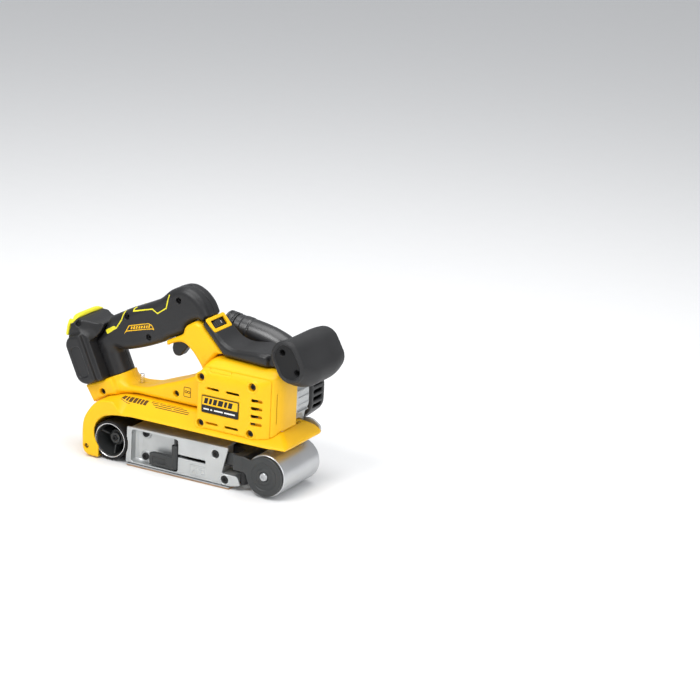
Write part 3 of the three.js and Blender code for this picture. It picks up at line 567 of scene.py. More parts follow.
def motor_housing(p):
    x, y, z = p
    middle = slab(y, COVER_SEAM + GAP, GEAR_SEAM - GAP)
    form = both(motor_block(p), middle, 0.6)
    form = either(form, both(disc(x, z, MOTOR, MOTOR_FLANGE), middle))
    form = without(form, disc(x, z, MOTOR, MOTOR_BORE))
    return without(form, block(p, (186, 200), (-27.9, 8), (80, 114)))


def gear_case(p):
    x, y, z = p
    side = [
        (108.5, 40), (108.5, 114, 10), (118, 121.8, 8), (190, 121.8, 9), (203.5, 110, 8),
        (204, 88, 3), (199, 76, 3), (196, 40),
    ]
    span = slab(y, GEAR_SEAM + GAP, 35)
    form = both(area(side, x, z), span, 1.6)
    form = without(form, under_deck(p))
    form = either(form, both(disc(x, z, MOTOR, MOTOR_FLANGE), span))
    for a in (82, 90, 98, 106):
        form = either(form, block(p, (200, 204.6), (11, 33), (a, a + 1.6), 0.5), 0.8)
    form = without(form, both(disc(x, z, MOTOR, MOTOR_BORE), y - 20))
    return without(form, disc(x, z, MOTOR, 6))


def hull2(p, q, r1, c1, r2, c2):
    """Two discs of near radii joined by their outer tangents."""
    dx, dz = c2[0] - c1[0], c2[1] - c1[1]
    length = math.hypot(dx, dz)
    along = ((p - c1[0]) * dx + (q - c1[1]) * dz) / length
    across = np.abs((q - c1[1]) * dx - (p - c1[0]) * dz) / length
    t = np.clip(along / length, 0, 1)
    return np.hypot(along - t * length, across) - (r1 + (r2 - r1) * t)


def drive_cover(p):
    x, y, z = p
    section = [
        (35.4, 70.6), (35.4, 122), (60, 122, 7), (67, 113, 8), (67, 66, 8), (62, 57, 6), (41.3, 57),
        (41.3, 70.6),
    ]
    side = [
        (104, 66, 8), (104, 122, 18), (205, 122, 24), (205, 78, 8), (178, 54, 10), (118, 54, 10),
    ]
    case = both(area(section, y, z), area(side, x, z), 3.5)
    arm = both(hull2(x, z, 20.6, DRIVE, 21, MOTOR), slab(y, 41.3, 57.5), 3)
    form = either(case, arm, 3)
    inner = both(both(area(section, y, z), area(side, x, z)) + 2.6, 35 - y)
    form = without(form, inner)
    form = without(form, both(hull2(x, z, 18.1, DRIVE, 18.5, MOTOR), slab(y, 30, 55.4)))
    for i in range(4):
        low = 80 + 8 * i
        form = without(form, block(p, (198, 212), (42, 60), (low, low + 3.6), 1.2), 0.6)
        form = without(form, block(p, (124, 176), (62, 80), (low, low + 3.2), 1.2), 0.6)
    disc_rim = np.abs(disc(x, z, DRIVE, 14)) - 0.9
    form = either(form, both(disc_rim, slab(y, 56, 58.2)), 0.6)
    return without(form, np.maximum(disc(x, y, (173, 48), 12.8), 110 - z))


mould("end_cover_shell", YELLOW, end_cover, (104, -41, 56), (207, -30, 140), 0.7,
      ["motor_end_cover"], "yellow")
mould("motor_block_shell", YELLOW, motor_housing, (104, -34, 55), (208, 9, 141), 1.1,
      ["motor_housing"], "yellow")
mould("gear_casting", CAST, gear_case, (105, 5, 55), (208, 38, 129), 1.0,
      ["gear_case"], "casting")
mould("drive_cover_shell", BLACK, drive_cover, (-24, 33, -1), (209, 70, 125), 1.2,
      ["drive_cover"], "black")


# ---- body, grip and covers

def column_bar(p, half, front, low, high):
    """An upright bar along the dock's tilt: flat where it meets the dock, an ellipse in front."""
    up, back = along_dock(p[0], p[2])
    forward = -back
    a, b = front - COLUMN_FLAT, half
    ahead = np.maximum(forward - COLUMN_FLAT, 0)
    g = np.hypot(ahead / a, p[1] / b) + 1e-9
    steep = np.hypot(ahead / a ** 2, p[1] / b ** 2) + 1e-9
    section = both((g - 1) * g / steep, COLUMN_BACK - forward)
    return both(section, slab(up, low, high))


# each place with the depth at which the screw's hole ends
WEB_SCREWS = (((-19.5, 70.7), 20), ((70.4, 85), 14))
GRIP_SCREWS = ((3.1, 157.6), (31.1, 139.4), (68, 187.5))


def body(p):
    x, y, z = p
    width = np.abs(y)
    web = both(area(BODY_SIDE, x, z), width - 19, 5)
    heel = both(area(HEEL_SIDE, x, z), width - 25, 3)
    form = either(web, either(heel, column_bar(p, 18, 33.4, -15, 0), 3), 6)
    form = without(form, both(-along_dock(x, z)[0], x - 15))
    form = without(form, under_deck(p))
    form = without(form, np.maximum(disc(x, y, KEY_PLACE, 2.7), 75.5 - z), 0.3)
    form = without(form, both(area(POCKET, x, z), width - POCKET_HALF))
    form = without(form, dial_drum(p, *DIAL_ROOM))
    for spot, depth in WEB_SCREWS:
        form = bored(form, p, [spot], 3.5, -depth, 1.1)
    return form


def grip_width(x, z):
    """Half the grip's width: fuller over the palm, narrower where the fingers close."""
    return 16 - 1.6 * np.exp(-((x - 26) / 17) ** 2 - ((z - 150) / 40) ** 2)


def grip(p):
    x, y, z = p
    up, back = along_dock(x, z)
    form = both(area(GRIP_SIDE, x, z), np.abs(y) - grip_width(x, z), 8.5)
    form = either(form, column_bar(p, 16, 31.7, 0.3, 40), 7)
    form = both(form, both(COLUMN_BACK + back, 0.3 - up))
    form = without(form, both(area(POCKET, x, z), np.abs(y) - POCKET_HALF))
    form = bored(form, p, GRIP_SCREWS, 3.3, -11, 0.6)
    return without(form, np.maximum(disc(x, z, BUTTON, 5.4), 5 - y), 0.3)


def seam(field_of, side):
    """One half of a form that is parted along the tool's middle."""
    return lambda p: both(field_of(p), side * p[1] + GAP, 0.4)


for side, word in ((1, "right"), (-1, "left")):
    span = ((-27.6, 0.6) if side > 0 else (-0.6, 27.6))
    mould("body_shell_" + word, YELLOW, seam(body, side), (-46, span[0], 54),
          (129, span[1], 172), 0.9, ["body_" + word], "yellow")
    mould("grip_shell_" + word, BLACK, seam(grip, side), (-46, span[0] * 0.68, 82),
          (107, span[1] * 0.68, 207), 0.85, ["grip_" + word], "black")


def top_cover(p):
    x, y, z = p
    width = np.abs(y)
    side = [
        (98.6, 167.2), (128.6, 138.4), (184, 138.4), (186, 150.5, 8), (172, 152, 8),
        (141, 148.5, 12), (128, 152.6, 12), (104.3, 175.2, 3),
    ]
    pad = area(side, x, z)
    form = both(pad, width - 26 + 0.10 * np.maximum(0, 175 - x), 5)
    arm = [
        (176, 138.4), (197.4, 138.4), (205.4, 130.4, 1), (208.4, 131.6, 1), (213, 142, 4),
        (212, 152, 4), (206, 157.4, 6), (176, 150, 3),
    ]
    form = either(form, both(area(arm, x, z), width - 20, 2), 3)
    along, out = turned_pair(x, z, DIAL_SLOPE, DIAL_CENTRE)
    seat = both(both(slab(along, -20, 9.2), slab(out, 6.9, 20)), width - 17.9)
    form = without(form, seat)
    form = without(form, disc(x, z, KNOB_PIVOT, 3.4))
    return without(form, dial_drum(p, *DIAL_ROOM))


def dial_bezel(p):
    x, y, z = p
    along, out = turned_pair(x, z, DIAL_SLOPE, DIAL_CENTRE)
    frame_ring = both(both(np.abs(along) - 8.8, np.abs(y) - 17.5, 2.2), slab(out, 7.2, 10.0), 0.8)
    return without(frame_ring, both(np.abs(along) - 4.7, np.abs(y) - 13, 1.2), 0.7)


mould("top_cover_shell", BLACK, top_cover, (96, -28.5, 128), (216, 28.5, 178), 0.9,
      ["top_cover"], "black")
mould("dial_frame", YELLOW, dial_bezel, (88, -19, 151), (120, 19, 176), 0.6,
      ["dial_bezel"], "yellow")


# ---- battery dock

CHEEK_SIDE = [
    dock(0.3, -12, 2), dock(0.3, 11.5, 5), dock(57, 11.5, 2), dock(59, 4, 4), dock(50, -12, 5),
]
HOOD_SIDE = [
    dock(40, 11.5), dock(57, 11.5, 2), dock(72.8, 1, 1.5), dock(71.2, -6, 5), dock(60.5, -20, 9),
    dock(57.5, -30, 4), dock(50, -21.6), dock(44, -12), dock(40, -6),
]
DOCK_HULL = [
    dock(0.3, -12), dock(0.3, 11.5, 3), dock(57, 11.5), dock(72.8, 1), dock(71.2, -6, 5),
    dock(60.5, -20, 9), dock(57.5, -30), dock(50, -21.6), dock(44, -12),
]
RIM_SIDE = [
    dock(57.3, 11.8, 1), dock(69, 4.1), dock(68.6, 1.2, 1), dock(72, -4.2, 1), dock(76.4, -4.2, 1),
    dock(77.2, 2.6, 1.5), dock(59.2, 14.4, 1),
]


def arch(offset):
    """The hood's section: an arch over the bay."""
    left = [(y + offset, z + offset, 3) for y, z in (
        (30, 139), (28.4, 144), (24.6, 147.6), (18.5, 149.6), (8, 150.6))]
    right = [(-y, z, cut) for y, z, cut in left[::-1]]
    return [(-30 - offset, 40), (30 + offset, 40), *left, *right]


def bay(p, back):
    x, y, z = p
    shape = area([dock(6, back), dock(6, 40), dock(95, 40), dock(95, back)], x, z)
    return both(shape, np.abs(y) - 26.5)


def hood(p):
    """The hood, which narrows forward like a funnel until it meets the grip."""
    x, y, z = p
    back = along_dock(x, z)[1]
    funnel = [
        (-40, -30), (2, -30, 4), (8, -27, 5), (20, -17.5, 9), (40, -16), (40, 16), (20, 17.5, 9),
        (8, 27, 5), (2, 30, 4), (-40, 30),
    ]
    form = both(area(HOOD_SIDE, x, z), area(funnel, -back, y), 1.2)
    form = both(form, area(arch(0), y, z), 1)
    rim_zone = both(area(RIM_SIDE, x, z) - 0.15, 0.05 - area(arch(-RIM_DEPTH), y, z))
    return without(form, rim_zone, 0.3)


def battery_dock(p):
    x, y, z = p
    width = np.abs(y)
    cheeks = both(area(CHEEK_SIDE, x, z), width - 30, 1.5)
    bulge = area([
        dock(1.5, -6, 2), dock(0.6, 9, 6), dock(8, 16.8, 6), dock(50, 16.8, 7), dock(56.5, 9, 6),
        dock(55, -6, 2)], x, z)
    form = either(cheeks, hood(p), 8)
    form = both(both(form, area(arch(0), y, z)), area(DOCK_HULL, x, z))
    bulge = both(bulge, width - 36, 4)
    hollow = area([dock(9, -1, 4), dock(9, 12, 6), dock(43, 12, 6), dock(43, -1, 4)], x, z)
    bulge = without(bulge, both(hollow, 34.4 - width), 1.4)
    form = either(form, bulge, 2.5)
    up, back = along_dock(x, z)
    form = both(form, both(-back - 31, 0.3 - up))
    form = without(form, bay(p, 1), 0.6)
    form = bored(form, p, [(-50.9, 142.5)], 3.1, -24, 0.8)
    rail = area([dock(7, 7.5), dock(7, 10.5), dock(46, 10.5), dock(46, 7.5)], x, z)
    return either(form, both(rail, slab(width, 22.5, 27), 0.3))


def battery_rim(p):
    x, y, z = p
    form = both(area(RIM_SIDE, x, z), -area(arch(-RIM_DEPTH), y, z), 0.5)
    form = both(form, area(arch(0.6), y, z), 1.2)
    return without(form, bay(p, 0.6), 0.3)


mould("dock_shell", BLACK, battery_dock, (-70, -38.5, 72), (-8, 38.5, 155), 0.95,
      ["battery_dock"], "black")
mould("dock_rim", LIME, battery_rim, (-70, -33, 124), (-50, 33, 154), 0.5,
      ["battery_rim"], "lime")


# ---- front handle

HANDLE_PITS = ((210.1, 163.4), (228.4, 144.7))


def knob_inset(p, radius):
    along, across = turned_pair(p[0], p[2], KNOB_TILT, KNOB_CENTRE)
    return np.hypot(along - np.clip(along, -6.5, 6.5), across) - radius


def front_knob(p):
    x, y, z = p
    along, across = turned_pair(x, z, KNOB_TILT, KNOB_CENTRE)
    near, far = np.clip((-8 - y) / 28, 0, 1) ** 2, np.clip((y - 20) / 22, 0, 1) ** 2
    centre = np.clip(along, -4.2 - 2.3 * near + 0.7 * far, 15 - 8.5 * near - 3.5 * far)
    radius = 17.8 - 0.6 * near - 0.8 * far
    form = both(np.hypot(along - centre, across) - radius, slab(y, -40, 46.5), 4.6)
    px, pz = KNOB_PIVOT
    slot = area([
        (px + 4, pz + 10), (px - 40, pz + 21.5), (px - 40, pz - 40), (px + 4, pz - 36),
        (px + 9.6, pz - 6)], x, z)
    slot = either(slot, disc(x, z, KNOB_PIVOT, 10))
    form = without(form, both(slot, np.abs(y) - 20.8), 1.2)
    form = without(form, np.maximum(disc(x, z, KNOB_PIVOT, 3.4), np.abs(y) - 26))
    form = without(form, both(knob_inset(p, 12.6), y + 38.6), 0.7)
    return bored(form, p, HANDLE_PITS, 3.5, -34, 0.5)


def knob_face(p):
    """The dark floor of the inset in the handle's near end."""
    x, y, z = p
    form = both(knob_inset(p, 12.2), slab(y, -38.9, -38), 0.2)
    for spot in HANDLE_PITS:
        form = without(form, disc(x, z, spot, 3.6), 0.2)
    return form


mould("handle_shell", RUBBER, front_knob, (190, -43, 117), (244, 50, 183), 0.95,
      ["front_knob"], "rubber", "front_handle")
mould("handle_face", TYRE, knob_face, (195, -40, 130), (240, -37, 178), 0.5, body="front_handle")


# ---- dust duct

def smooth_path(corners, count):
    """Points of a Catmull-Rom curve through the corners."""
    corners = np.array(corners, float)
    ends = [2 * corners[0] - corners[1], *corners, 2 * corners[-1] - corners[-2]]
    points = []
    for a, b, c, d in zip(ends, ends[1:], ends[2:], ends[3:]):
        for t in np.linspace(0, 1, count, endpoint=False):
            points.append(0.5 * (2 * b + (c - a) * t + (2 * a - 5 * b + 4 * c - d) * t * t
                                 + (3 * b - a - 3 * c + d) * t ** 3))
    return np.array([*points, corners[-1]])


DUCT = smooth_path([
    (173, 48, 122.4), (173, 48, 127.4), (167.5, 46.5, 135.8), (153, 45.5, 142.6), (134, 45, 147.2),
    (106, 45, 151)], 8)


def from_path(p, points):
    """Distance from a line of points in space."""
    nearest = np.inf
    for a, b in zip(points, points[1:]):
        edge = b - a
        offset = [p[k] - a[k] for k in range(3)]
        along = np.clip(sum(o * e for o, e in zip(offset, edge)) / (edge @ edge), 0, 1)
        d = sum((o - along * e) ** 2 for o, e in zip(offset, edge))
        nearest = np.minimum(nearest, d)
    return np.sqrt(nearest)


MOUTH = DUCT[-1]
MOUTH_WAY = (DUCT[-1] - DUCT[-2]) / np.linalg.norm(DUCT[-1] - DUCT[-2])


def before_mouth(p, beyond=0.0):
    return sum((p[k] - MOUTH[k]) * MOUTH_WAY[k] for k in range(3)) - beyond


def dust_duct(p):
    long = np.vstack([DUCT, MOUTH + 20 * MOUTH_WAY])
    away = from_path(p, long)
    band = both(away - 15.5, both(before_mouth(p, -8), -before_mouth(p, -17)), 0.6)
    tube = either(away - 15, band, 0.4)
    seam_line = both(before_mouth(p, -18), -before_mouth(p, -18.8))
    tube = without(tube, both(seam_line, 14.6 - away), 0.2)
    tube = both(without(tube, away - 12.8), 122.4 - p[2], 0.5)
    return both(tube, before_mouth(p), 0.6)


def dust_collar(p):
    away = from_path(p, np.array([MOUTH - 30 * MOUTH_WAY, MOUTH + 30 * MOUTH_WAY]))
    ring = both(away - 15.6, 12.8 - away)
    ring = both(ring, before_mouth(p, 12), 0.8)
    ring = both(ring, -before_mouth(p, 0.3), 0.5)
    for k in (2.6, 8.4):
        groove = both(both(before_mouth(p, k + 0.7), -before_mouth(p, k - 0.7)), 14.6 - away)
        ring = without(ring, groove, 0.3)
    return ring


mould("duct_tube", GLOSS, dust_duct, (103, 28, 121), (191, 66, 169), 0.8,
      ["dust_duct"], "black")
mould("duct_collar", GLOSS, dust_collar, (91, 27, 132), (109, 63, 171), 0.6,
      ["dust_collar"], "black")


# ---- belt tension and tracking

def idler_fork(p):
    x, y, z = p
    near = slab(y, -41.2, -38.3)
    arm = [(157, 24, 2), (157, 41.3, 2), (176, 41.3, 8), (188, 30), (180, 24)]
    plate = either(disc(x, z, IDLER, 21.9), area(arm, x, z), 4)
    form = both(plate, near, 1.1)
    ridge = np.abs(disc(x, z, IDLER, 17.5)) - 2.6
    groove = both(disc(x, z, IDLER, 15), -disc(x, z, IDLER, 9), 0.5)
    form = without(form, both(groove, y + 40.5), 0.5)
    form = either(form, both(ridge, slab(y, -41.2, -39), 0.7), 0.5)
    form = either(form, block(p, (158.6, 169), (-41.2, 41), (24.4, 41.2), 1.0), 0.8)
    far = either(disc(x, z, IDLER, 17), both(slab(x, 160, IDLER[0]), slab(z, 24, 41)), 3)
    form = either(form, both(far, slab(y, 38.3, 41), 1.0), 0.4)
    form = either(form, block(p, (131, 159), (-33.4, -30.2), (25.4, 39.6), 0.6))
    form = without(form, disc(x, z, IDLER, 4.8))
    return without(form, np.maximum(disc(x, y, KNOB_SCREW, 2.4), slab(z, 20, 30)))


def tension_lever(p):
    x, y, z = p
    cx, cy = LEVER_PIVOT
    plan = [(50.6, -38.2, 2), (cx, cy - 4.2), (cx, cy + 3.2), (52.5, -31, 3)]
    grip_bar = both(area(plan, x, y), slab(z, 6, 20.5), 1.6)
    rib = both(np.abs(z - 13.2) - 3.4, slab(x, 55, 72))
    grip_bar = without(grip_bar, both(rib, y + 37.6 - 0.06 * (x - 50)), 0.6)
    hub = both(disc(x, y, LEVER_PIVOT, 4.4), slab(z, 6.8, 33.7), 1.2)
    form = either(grip_bar, hub, 1.4)
    yoke = block(p, (78, 84), (-37.2, -34), (27, 33.7), 0.8)
    yoke = both(yoke, disc(x, y, LEVER_PIVOT, 4.3), 0.4)
    form = either(form, without(yoke, block(p, (77, 81), (-40, -33), (29.4, 31.2), 0.5), 0.4), 0.5)
    return without(form, disc(x, y, LEVER_PIVOT, 2.35))


def trigger(p):
    x, y, z = p
    form = both(area(TRIGGER_SIDE, x, z), np.abs(y) - 6.5, 2.2)
    for k in range(4):
        low = 124.4 + 2.4 * k
        rib = both(slab(z, low, low + 0.8), x - 60.5)
        form = without(form, both(rib, np.abs(y) - 4.6), 0.3)
    return form


mould("fork_plate", FORK, idler_fork, (129, -43, 0), (219, 43, 48), 0.85,
      ["idler_fork"], "dark_steel", "fork")
mould("lever_grip", FORK, tension_lever, (48, -40.5, 4), (89, -27, 36), 0.5,
      ["tension_lever"], "dark_steel", "tension_lever")
mould("trigger_pad", BLACK, trigger, (53, -8, 120), (89, 8, 155), 0.5,
      ["trigger"], "black", "trigger")


def dial_mark(p):
    """The dial's white pointer, near the left end of its window."""
    x, y, z = p
    along, out = turned_pair(x, z, DIAL_SLOPE, DIAL_CENTRE)
    mark = block((along, y, out), (-1.6, 1.6), (3, 5), (9, 9.6), 0.2)
    return both(mark, disc(out, y, (0, 0), 10.2))


def cup_ribs(p):
    """Three ribs from the hub's boss to its wall."""
    x, y, z = p
    ribs = []
    for angle in (35, 155, 275):
        along, across = turned_pair(x, z, math.radians(angle), DRIVE)
        rib = both(np.abs(across) - 1, slab(along, 8, 17))
        ribs.append(both(rib, slab(y, -24 - 0.4 * along, -13), 0.4))
    return any_of(ribs)


mould("cup_ribs", CUP, cup_ribs, (-18, -33, 4), (18, -12, 41), 0.6, body="drive_roller")


# ---- turned pieces

TWELFTH = math.pi / 6
ACROSS = {
    "round": lambda t: 1,
    "hex": lambda t: math.cos(TWELFTH) / math.cos((t + TWELFTH) % (2 * TWELFTH) - TWELFTH),
    "star": lambda t: 1 + 0.16 * math.cos(6 * t),
    "knurl": lambda t: 1 + 0.03 * max(-1, min(1, 3 * math.cos(24 * t))),
}


def rings(name, body, material, layers, centre, axis="Y", sides=96, stands_for=(), slot_name=None,
          along=0.0, sharp=30):
    """A turned piece of rings (radius, place along the axis, shape) about an axis through a point
    of the plane square to it, or along an angle of the side view."""
    points, faces = [], []
    for radius, at, *shape in layers:
        form = ACROSS[shape[0] if shape else "round"]
        for i in range(sides):
            t = 2 * math.pi * i / sides
            a, b = radius * form(t) * math.cos(t), radius * form(t) * math.sin(t)
            if axis == "slope":
                c, s = math.cos(along), math.sin(along)
                points.append((centre[0] + c * at - s * b, a, centre[1] + s * at + c * b))
            elif axis == "Y":
                points.append((centre[0] + a, at, centre[1] + b))
            else:
                points.append((centre[0] + a, centre[1] + b, at))
    for k in range(len(layers) - 1):
        for i in range(sides):
            j = (i + 1) % sides
            faces.append((k * sides + i, k * sides + j, (k + 1) * sides + j, (k + 1) * sides + i))
    made = new_object(name, points, faces, material)
    shade(made, sharp)
    return finish_piece(made, body, slot_name, stands_for)


lathe = functools.partial(rings, sides=72, sharp=35)


def screw(name, x, z, face, radius=3.4, stands_for=(), material=DARK, depth=2.2, socket="star",
          body="frame"):
    """A screw head that faces -Y with a socket sunk in it."""
    return rings(name, body, material, [
        (0.01, face + depth), (radius, face + depth), (radius, face + 0.5),
        (radius - 0.35, face + 0.12), (radius - 0.9, face), (radius * 0.56, face),
        (radius * 0.5, face + 0.15, socket), (radius * 0.5, face + 1.4, socket), (0.01, face + 1.5),
    ], (x, z), sides=48, stands_for=stands_for,
        slot_name="dark_steel" if material is DARK else None)


# the rollers' near end, with the far one as far from the middle
NEAR = -37.5
lathe("drive_ring", "drive_roller", BRIGHT, [
    (18.2, NEAR + 2.2), (18.2, NEAR + 0.3), (18.5, NEAR), (19, NEAR), (19.2, NEAR + 0.3),
    (19.2, 37.2), (16, 37.2), (16, 8), (18.2, 8), (18.2, NEAR + 2.2),
], DRIVE, stands_for=["drive_hub"], slot_name="silver")
lathe("drive_cup", "drive_roller", CUP, [
    (6, -24), (7.6, -24), (8.4, -23.6), (9, -22.6), (9, -17), (9.8, -15), (11, -14), (14.4, -13.4),
    (15.8, -14), (16.6, -15.6), (17.4, NEAR + 4), (17.7, NEAR + 2.4), (18.1, NEAR + 2.2),
    (18.1, 7.8), (6, 7.8), (6, -24),
], DRIVE)
lathe("drive_tread", "drive_roller", TYRE, [
    (19.3, NEAR), (21.2, NEAR), (21.7, NEAR + 0.5), (21.9, NEAR + 1.5), (21.9, -NEAR - 1.5),
    (21.7, -NEAR - 0.5), (21.2, -NEAR), (19.3, -NEAR), (19.3, NEAR),
], DRIVE, stands_for=["drive_tyre"], slot_name="rubber")
lathe("front_drum", "front_roller", BRUSHED, [
    (4.9, NEAR), (12, NEAR), (13, NEAR + 3), (20, NEAR + 3), (21, NEAR + 0.6), (21.6, NEAR),
    (22.5, NEAR), (23.1, NEAR + 0.6), (23.2, NEAR + 2), (23.36, -12), (23.4, 0), (23.36, 12),
    (23.2, -NEAR - 2), (23.1, -NEAR - 0.6), (22.5, -NEAR), (21.6, -NEAR), (21, -NEAR - 0.6),
    (20, -NEAR - 3), (13, -NEAR - 3), (12, -NEAR), (4.9, -NEAR), (4.9, NEAR),
], IDLER, sides=128, stands_for=["idler_roller"], slot_name="silver")
lathe("front_axle", "fork", STEEL, [
    (0.01, -41.2), (1.6, -41.2), (1.8, -42), (3.9, -42), (4.5, -41.4), (4.5, 40.8), (3.9, 41.4),
    (0.01, 41.4),
], IDLER, stands_for=["idler_axle"], slot_name="silver")
rings("side_button", "lock_button", BLACK, [
    (0.01, 11), (5, 11), (5, 18.2), (4.4, 19), (3.4, 19.2), (2.4, 18.8), (0.01, 18.6),
], BUTTON, sides=64, stands_for=["lock_button"], slot_name="black")
rings("tracking_grip", "tracking_knob", BLACK, [
    (0.01, 7.9), (1.4, 7.9), (1.8, 7.5), (3.4, 7.5), (3.85, 8.1, "knurl"), (3.85, 23, "knurl"),
    (3.5, 23.8), (2, 23.8), (2, 29), (0.01, 29),
], KNOB_SCREW, axis="Z", stands_for=["tracking_knob"], slot_name="black")
rings("speed_wheel", "speed_dial", RUBBER, [
    (0.01, -3.4), (8.2, -3.4), (9, -4), (9.7, -3.5, "knurl"), (9.7, 3.5, "knurl"), (9, 4),
    (8.2, 3.4), (0.01, 3.4),
], DIAL_CENTRE, "slope", along=DIAL_SLOPE, sides=240, stands_for=["speed_dial"], slot_name="black")
mould("dial_mark", WHITE, dial_mark, (100, 0, 160), (116, 8, 176), 0.3, body="speed_dial")
rings("stored_key", "frame", BRIGHT, [
    (0.01, 76), (2.2, 76, "hex"), (2.4, 76.3, "hex"), (2.4, 91.6, "hex"), (1.9, 92.2, "hex"),
    (0.01, 92.2),
], KEY_PLACE, axis="Z", stands_for=["hex_key"], slot_name="dark_steel")

for i, (x, z) in enumerate(END_SCREWS):
    screw(f"end_screw_{i + 1}", x, z, -34.8, 3.2, [f"end_cover_screw_{i + 1}"], depth=1.6)
for i, (x, z) in enumerate(GRIP_SCREWS):
    screw(f"grip_head_{i + 1}", x, z, -12.2, 3, [f"grip_screw_{i + 1}"], depth=1.2)
for i, (x, z, face) in enumerate(((41, 37, -30.5), (41, 11, -30.5), (133.7, 35.8, -37.6),
                                  (146, 9.6, -37.2))):
    screw(f"frame_head_{i + 1}", x, z, face, 4, [f"frame_screw_{i + 1}"], socket="hex")
for i, ((x, z), depth) in enumerate(WEB_SCREWS):
    screw(f"web_head_{i + 1}", x, z, -depth - 1.3, 3.2, depth=1.3)
screw("fender_head", *FENDER_SCREW, -39.6, 2.6, depth=1.2)
screw("hub_screw", *DRIVE, -28.6, 3, depth=1.6, socket="hex", body="drive_roller")
# the handle's pit screws are near-black painted shade, so the pits read as shaded holes
for i, (x, z) in enumerate(HANDLE_PITS):
    screw(f"handle_pit_{i + 1}", x, z, -35.2, 3.2, material=PAINTED_PIT_SHADE, depth=1.2, body="front_handle")


# ---- rating plate and printed marks

def panel(corners, front, back, r):
    """A flat panel seen from the near side."""
    return lambda p: both(area(corners, p[0], p[2]), slab(p[1], front, back), r)


def thin(host, mark, out=0.3):
    """A film on a host's surface where the mark's field is inside."""
    def film(p):
        surface = host(p)
        return both(both(surface - out, -(surface + 0.8)), mark(p), 0.1)
    return film


def plate_bars(p):
    x, y, z = p
    ends = ((117, 121.5), (123, 126.5), (128, 132.5), (134, 140), (141.5, 145), (146.5, 151.5))
    bars = any_of(area(oblong(x0, x1, 89.4, 96, 0.4, 1.6), x, z) for x0, x1 in ends)
    return both(bars, slab(y, -38.1, -37.5))


def plate_lines(p):
    x, y, z = p
    ends = ((117, 124), (125.5, 128), (130, 141), (142.5, 156))
    lines = any_of(both(slab(x, x0, x1), slab(z, 82.6, 84.4), 0.3) for x0, x1 in ends)
    return both(lines, slab(y, -38.05, -37.5))


mould("label_plate", INK, panel(oblong(114.3, 159.7, 79.3, 98.2, 1), -37.9, -37, 0.25),
      (113, -39, 78), (161, -36, 100), 0.5, ["rating_plate"], "black")
mould("label_field", YELLOW,
      panel(oblong(115.1, 158.9, 87.6, 97.4, 0.6), -38, -37.5, 0.1),
      (114, -38.6, 87), (160, -37, 98.2), 0.3, slot_name="yellow")
mould("label_bars", INK, plate_bars, (116, -38.6, 88.8), (155, -37.2, 97), 0.3)
mould("label_lines", WHITE, plate_lines, (116, -38.5, 82), (157.5, -37.2, 85), 0.3)

GRIP_LINE = [
    (56, 191.1), (54.7, 184.5), (53.1, 176.5), (42.2, 168.5), (35.2, 172), (10.5, 164.7),
    (10, 166.7), (11.9, 168.6),
]
HEEL_LINE = [(-1.2, 162), (-2.9, 153.1), (-9.6, 142.3)]
BAR = [(-24.3, 137.3, 1), (-12.1, 144.8, 1), (-8.6, 142.5, 1), (-20.3, 133.7, 1)]
BADGE = [
    (0, 137.2), (6.1, 148.7, 1), (30.4, 155.5, 1), (35.3, 154.3, 1), (38.9, 149), (34.5, 149),
    (4.3, 141.1),
]


def badge(x, z):
    """An outlined badge with a row of bars in it."""
    mark = np.abs(area(BADGE, x, z) + 0.7) - 0.55
    for i in range(8):
        along = 8.5 + 3.1 * i
        low = 144.6 + 0.25 * (along - 8.5)
        bar = both(slab(x - 0.25 * (z - low), along, along + 1.9), slab(z, low, low + 3.4))
        mark = np.minimum(mark, bar)
    return mark


def shoulder(p):
    """All that lies over the middle of the deck's wall, where its shoulder slopes."""
    return 65.3 + 0.88 * (p[1] + 27.6) - p[2]


def deck_bars(p):
    """A printed row of slanted bars on the deck's shoulder."""
    ends = ((7, 11), (12, 14.6), (15.6, 20), (21, 25), (26, 29), (30, 33), (34, 38))
    bars = any_of(area(oblong(x0, x1, -27.6, -22, 0, 1.4), p[0], p[1]) for x0, x1 in ends)
    return both(bars, shoulder(p))


def deck_lines(p):
    """Printed lines on the deck's shoulder, in place of small print."""
    rows = {-29: ((7, 19),), -21.6: ((43, 60), (62, 82)), -23.4: ((43, 52), (54, 88)),
            -25.2: ((46, 70), (72, 92)), -27: ((50, 92),)}
    lines = any_of(both(slab(p[0], x0, x1), slab(p[1], at - 0.4, at + 0.4))
                   for at, ends in rows.items() for x0, x1 in ends)
    return both(lines, shoulder(p))


def web_signs(p):
    """A printed frame with two rings in it, on the web."""
    x, z = p[0], p[2]
    sign = np.abs(area(oblong(80.5, 89, 84.5, 95, 1), x, z)) - 0.45
    for centre in ((83.2, 90), (86.6, 90)):
        sign = np.minimum(sign, np.abs(disc(x, z, centre, 1.3)) - 0.45)
    return both(sign, p[1] + 8)


BROWN = material("print_brown", (0.10, 0.045, 0.004), 0.5, spread=0.1, shine=0.3)
for name, host, mark, low, high, step in (
    ("deck_print_bars", belt_guard, deck_bars, (5, -30, 62), (41, -20, 76), 0.3),
    ("deck_print_lines", belt_guard, deck_lines, (5, -31, 62), (95, -20, 76), 0.35),
    ("web_print", body, web_signs, (79, -21, 83), (91, -16, 97), 0.3),
):
    mould(name, BROWN, thin(host, mark, 0.2), low, high, step)


def on_side(side, mark):
    return lambda p: both(mark(p[0], p[2]), -side * p[1] + 8)


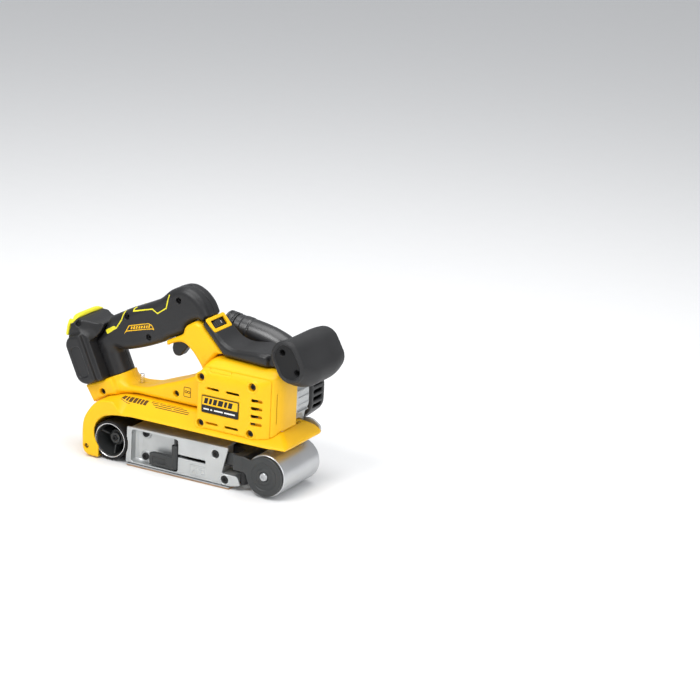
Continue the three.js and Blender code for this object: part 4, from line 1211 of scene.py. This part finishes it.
for side, word in ((-1, "right"), (1, "left")):
    for name, low, high, color, mark in (
        ("grip_stripe_", (8, 162), (59, 193), LIME, lambda x, z: stroke(GRIP_LINE, x, z) - 0.75),
        ("heel_stripe_", (-12, 140), (1, 164), LIME, lambda x, z: stroke(HEEL_LINE, x, z) - 0.75),
        ("heel_bar_", (-26, 132), (-7, 146), LIME, lambda x, z: area(BAR, x, z)),
        ("grip_badge_", (-1, 136), (40, 157), YELLOW, badge),
    ):
        span = (-17, -7) if side < 0 else (7, 17)
        mould(name + word, color, thin(grip, on_side(side, mark)),
              (low[0], span[0], low[1]), (high[0], span[1], high[1]), 0.45,
              slot_name="lime" if color is LIME else "yellow")


# ---- CAD nodes that stay

for finish, names in (
    (CORK, "sole_pad"), (CUP, "drive_shaft"), (TYRE, "drive_belt"),
    (STEEL, "sole_plate tension_spring drive_bearing stator rotor rear_bearing front_bearing"
            " knob_pin"),
    (DARK, "lever_pin driven_pulley motor_pulley slide_bar"),
    (BLACK, "dust_fan controller_module switch_module terminal_block"),
):
    for name in names.split():
        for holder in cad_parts[name].material_slots:
            holder.material = finish


# ---- floor, lights and camera

def floor():
    finish = material("pale_floor", (0.86, 0.86, 0.86), 0.7, spread=0.004)
    mesh = bpy.data.meshes.new("floor")
    wide = 6
    mesh.from_pydata([(-wide, -wide, 0), (wide, -wide, 0), (wide, wide, 0), (-wide, wide, 0)], [],
                     [(0, 1, 2, 3)])
    mesh.materials.append(finish)
    made = add("floor", mesh)
    made.location.z = cad_low[2] - 0.0002
    made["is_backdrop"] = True


def lamp(name, where, target, size, watts):
    """A square area light."""
    data = bpy.data.lights.new(name, "AREA")
    data.size = size
    data.energy = watts
    made = add(name, data)
    made.location = where
    made.rotation_euler = (Vector(target) - Vector(where)).to_track_quat("-Z", "Y").to_euler()


def camera():
    turn, tilt, roll = (math.radians(v) for v in CAMERA_ANGLES)
    level = math.cos(tilt)
    back = Vector((math.sin(turn) * level, -math.cos(turn) * level, math.sin(tilt)))
    right = Vector((0, 0, 1)).cross(back).normalized()
    up = back.cross(right)
    across = math.cos(roll) * right + math.sin(roll) * up
    upright = -math.sin(roll) * right + math.cos(roll) * up
    data = bpy.data.cameras.new("camera")
    data.sensor_width = SENSOR_MM
    data.lens = FOCAL_PIXELS / IMAGE_PIXELS * SENSOR_MM
    data.clip_end = 30
    made = add("camera", data)
    facing = Matrix((across, upright, back)).transposed().to_4x4()
    made.matrix_world = Matrix.Translation(CAMERA_PLACE) @ facing
    bpy.context.scene.camera = made


floor()
camera()
lamp("key", (-0.2, -1.2, 1.6), (0, 0, 0.08), 0.8, 22)
lamp("fill", (1.5, -0.9, 0.7), (0, 0, 0.08), 1.0, 7)
lamp("top", (0.1, 0.2, 1.7), (0, 0, 0.05), 1.3, 20)
world = bpy.data.worlds.new("studio")
bpy.context.scene.world = world
world.use_nodes = True
world.node_tree.nodes["Background"].inputs["Color"].default_value = (0.9, 0.92, 0.95, 1)
world.node_tree.nodes["Background"].inputs["Strength"].default_value = 0.55
bpy.context.scene.view_settings.view_transform = "Standard"

low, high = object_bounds()
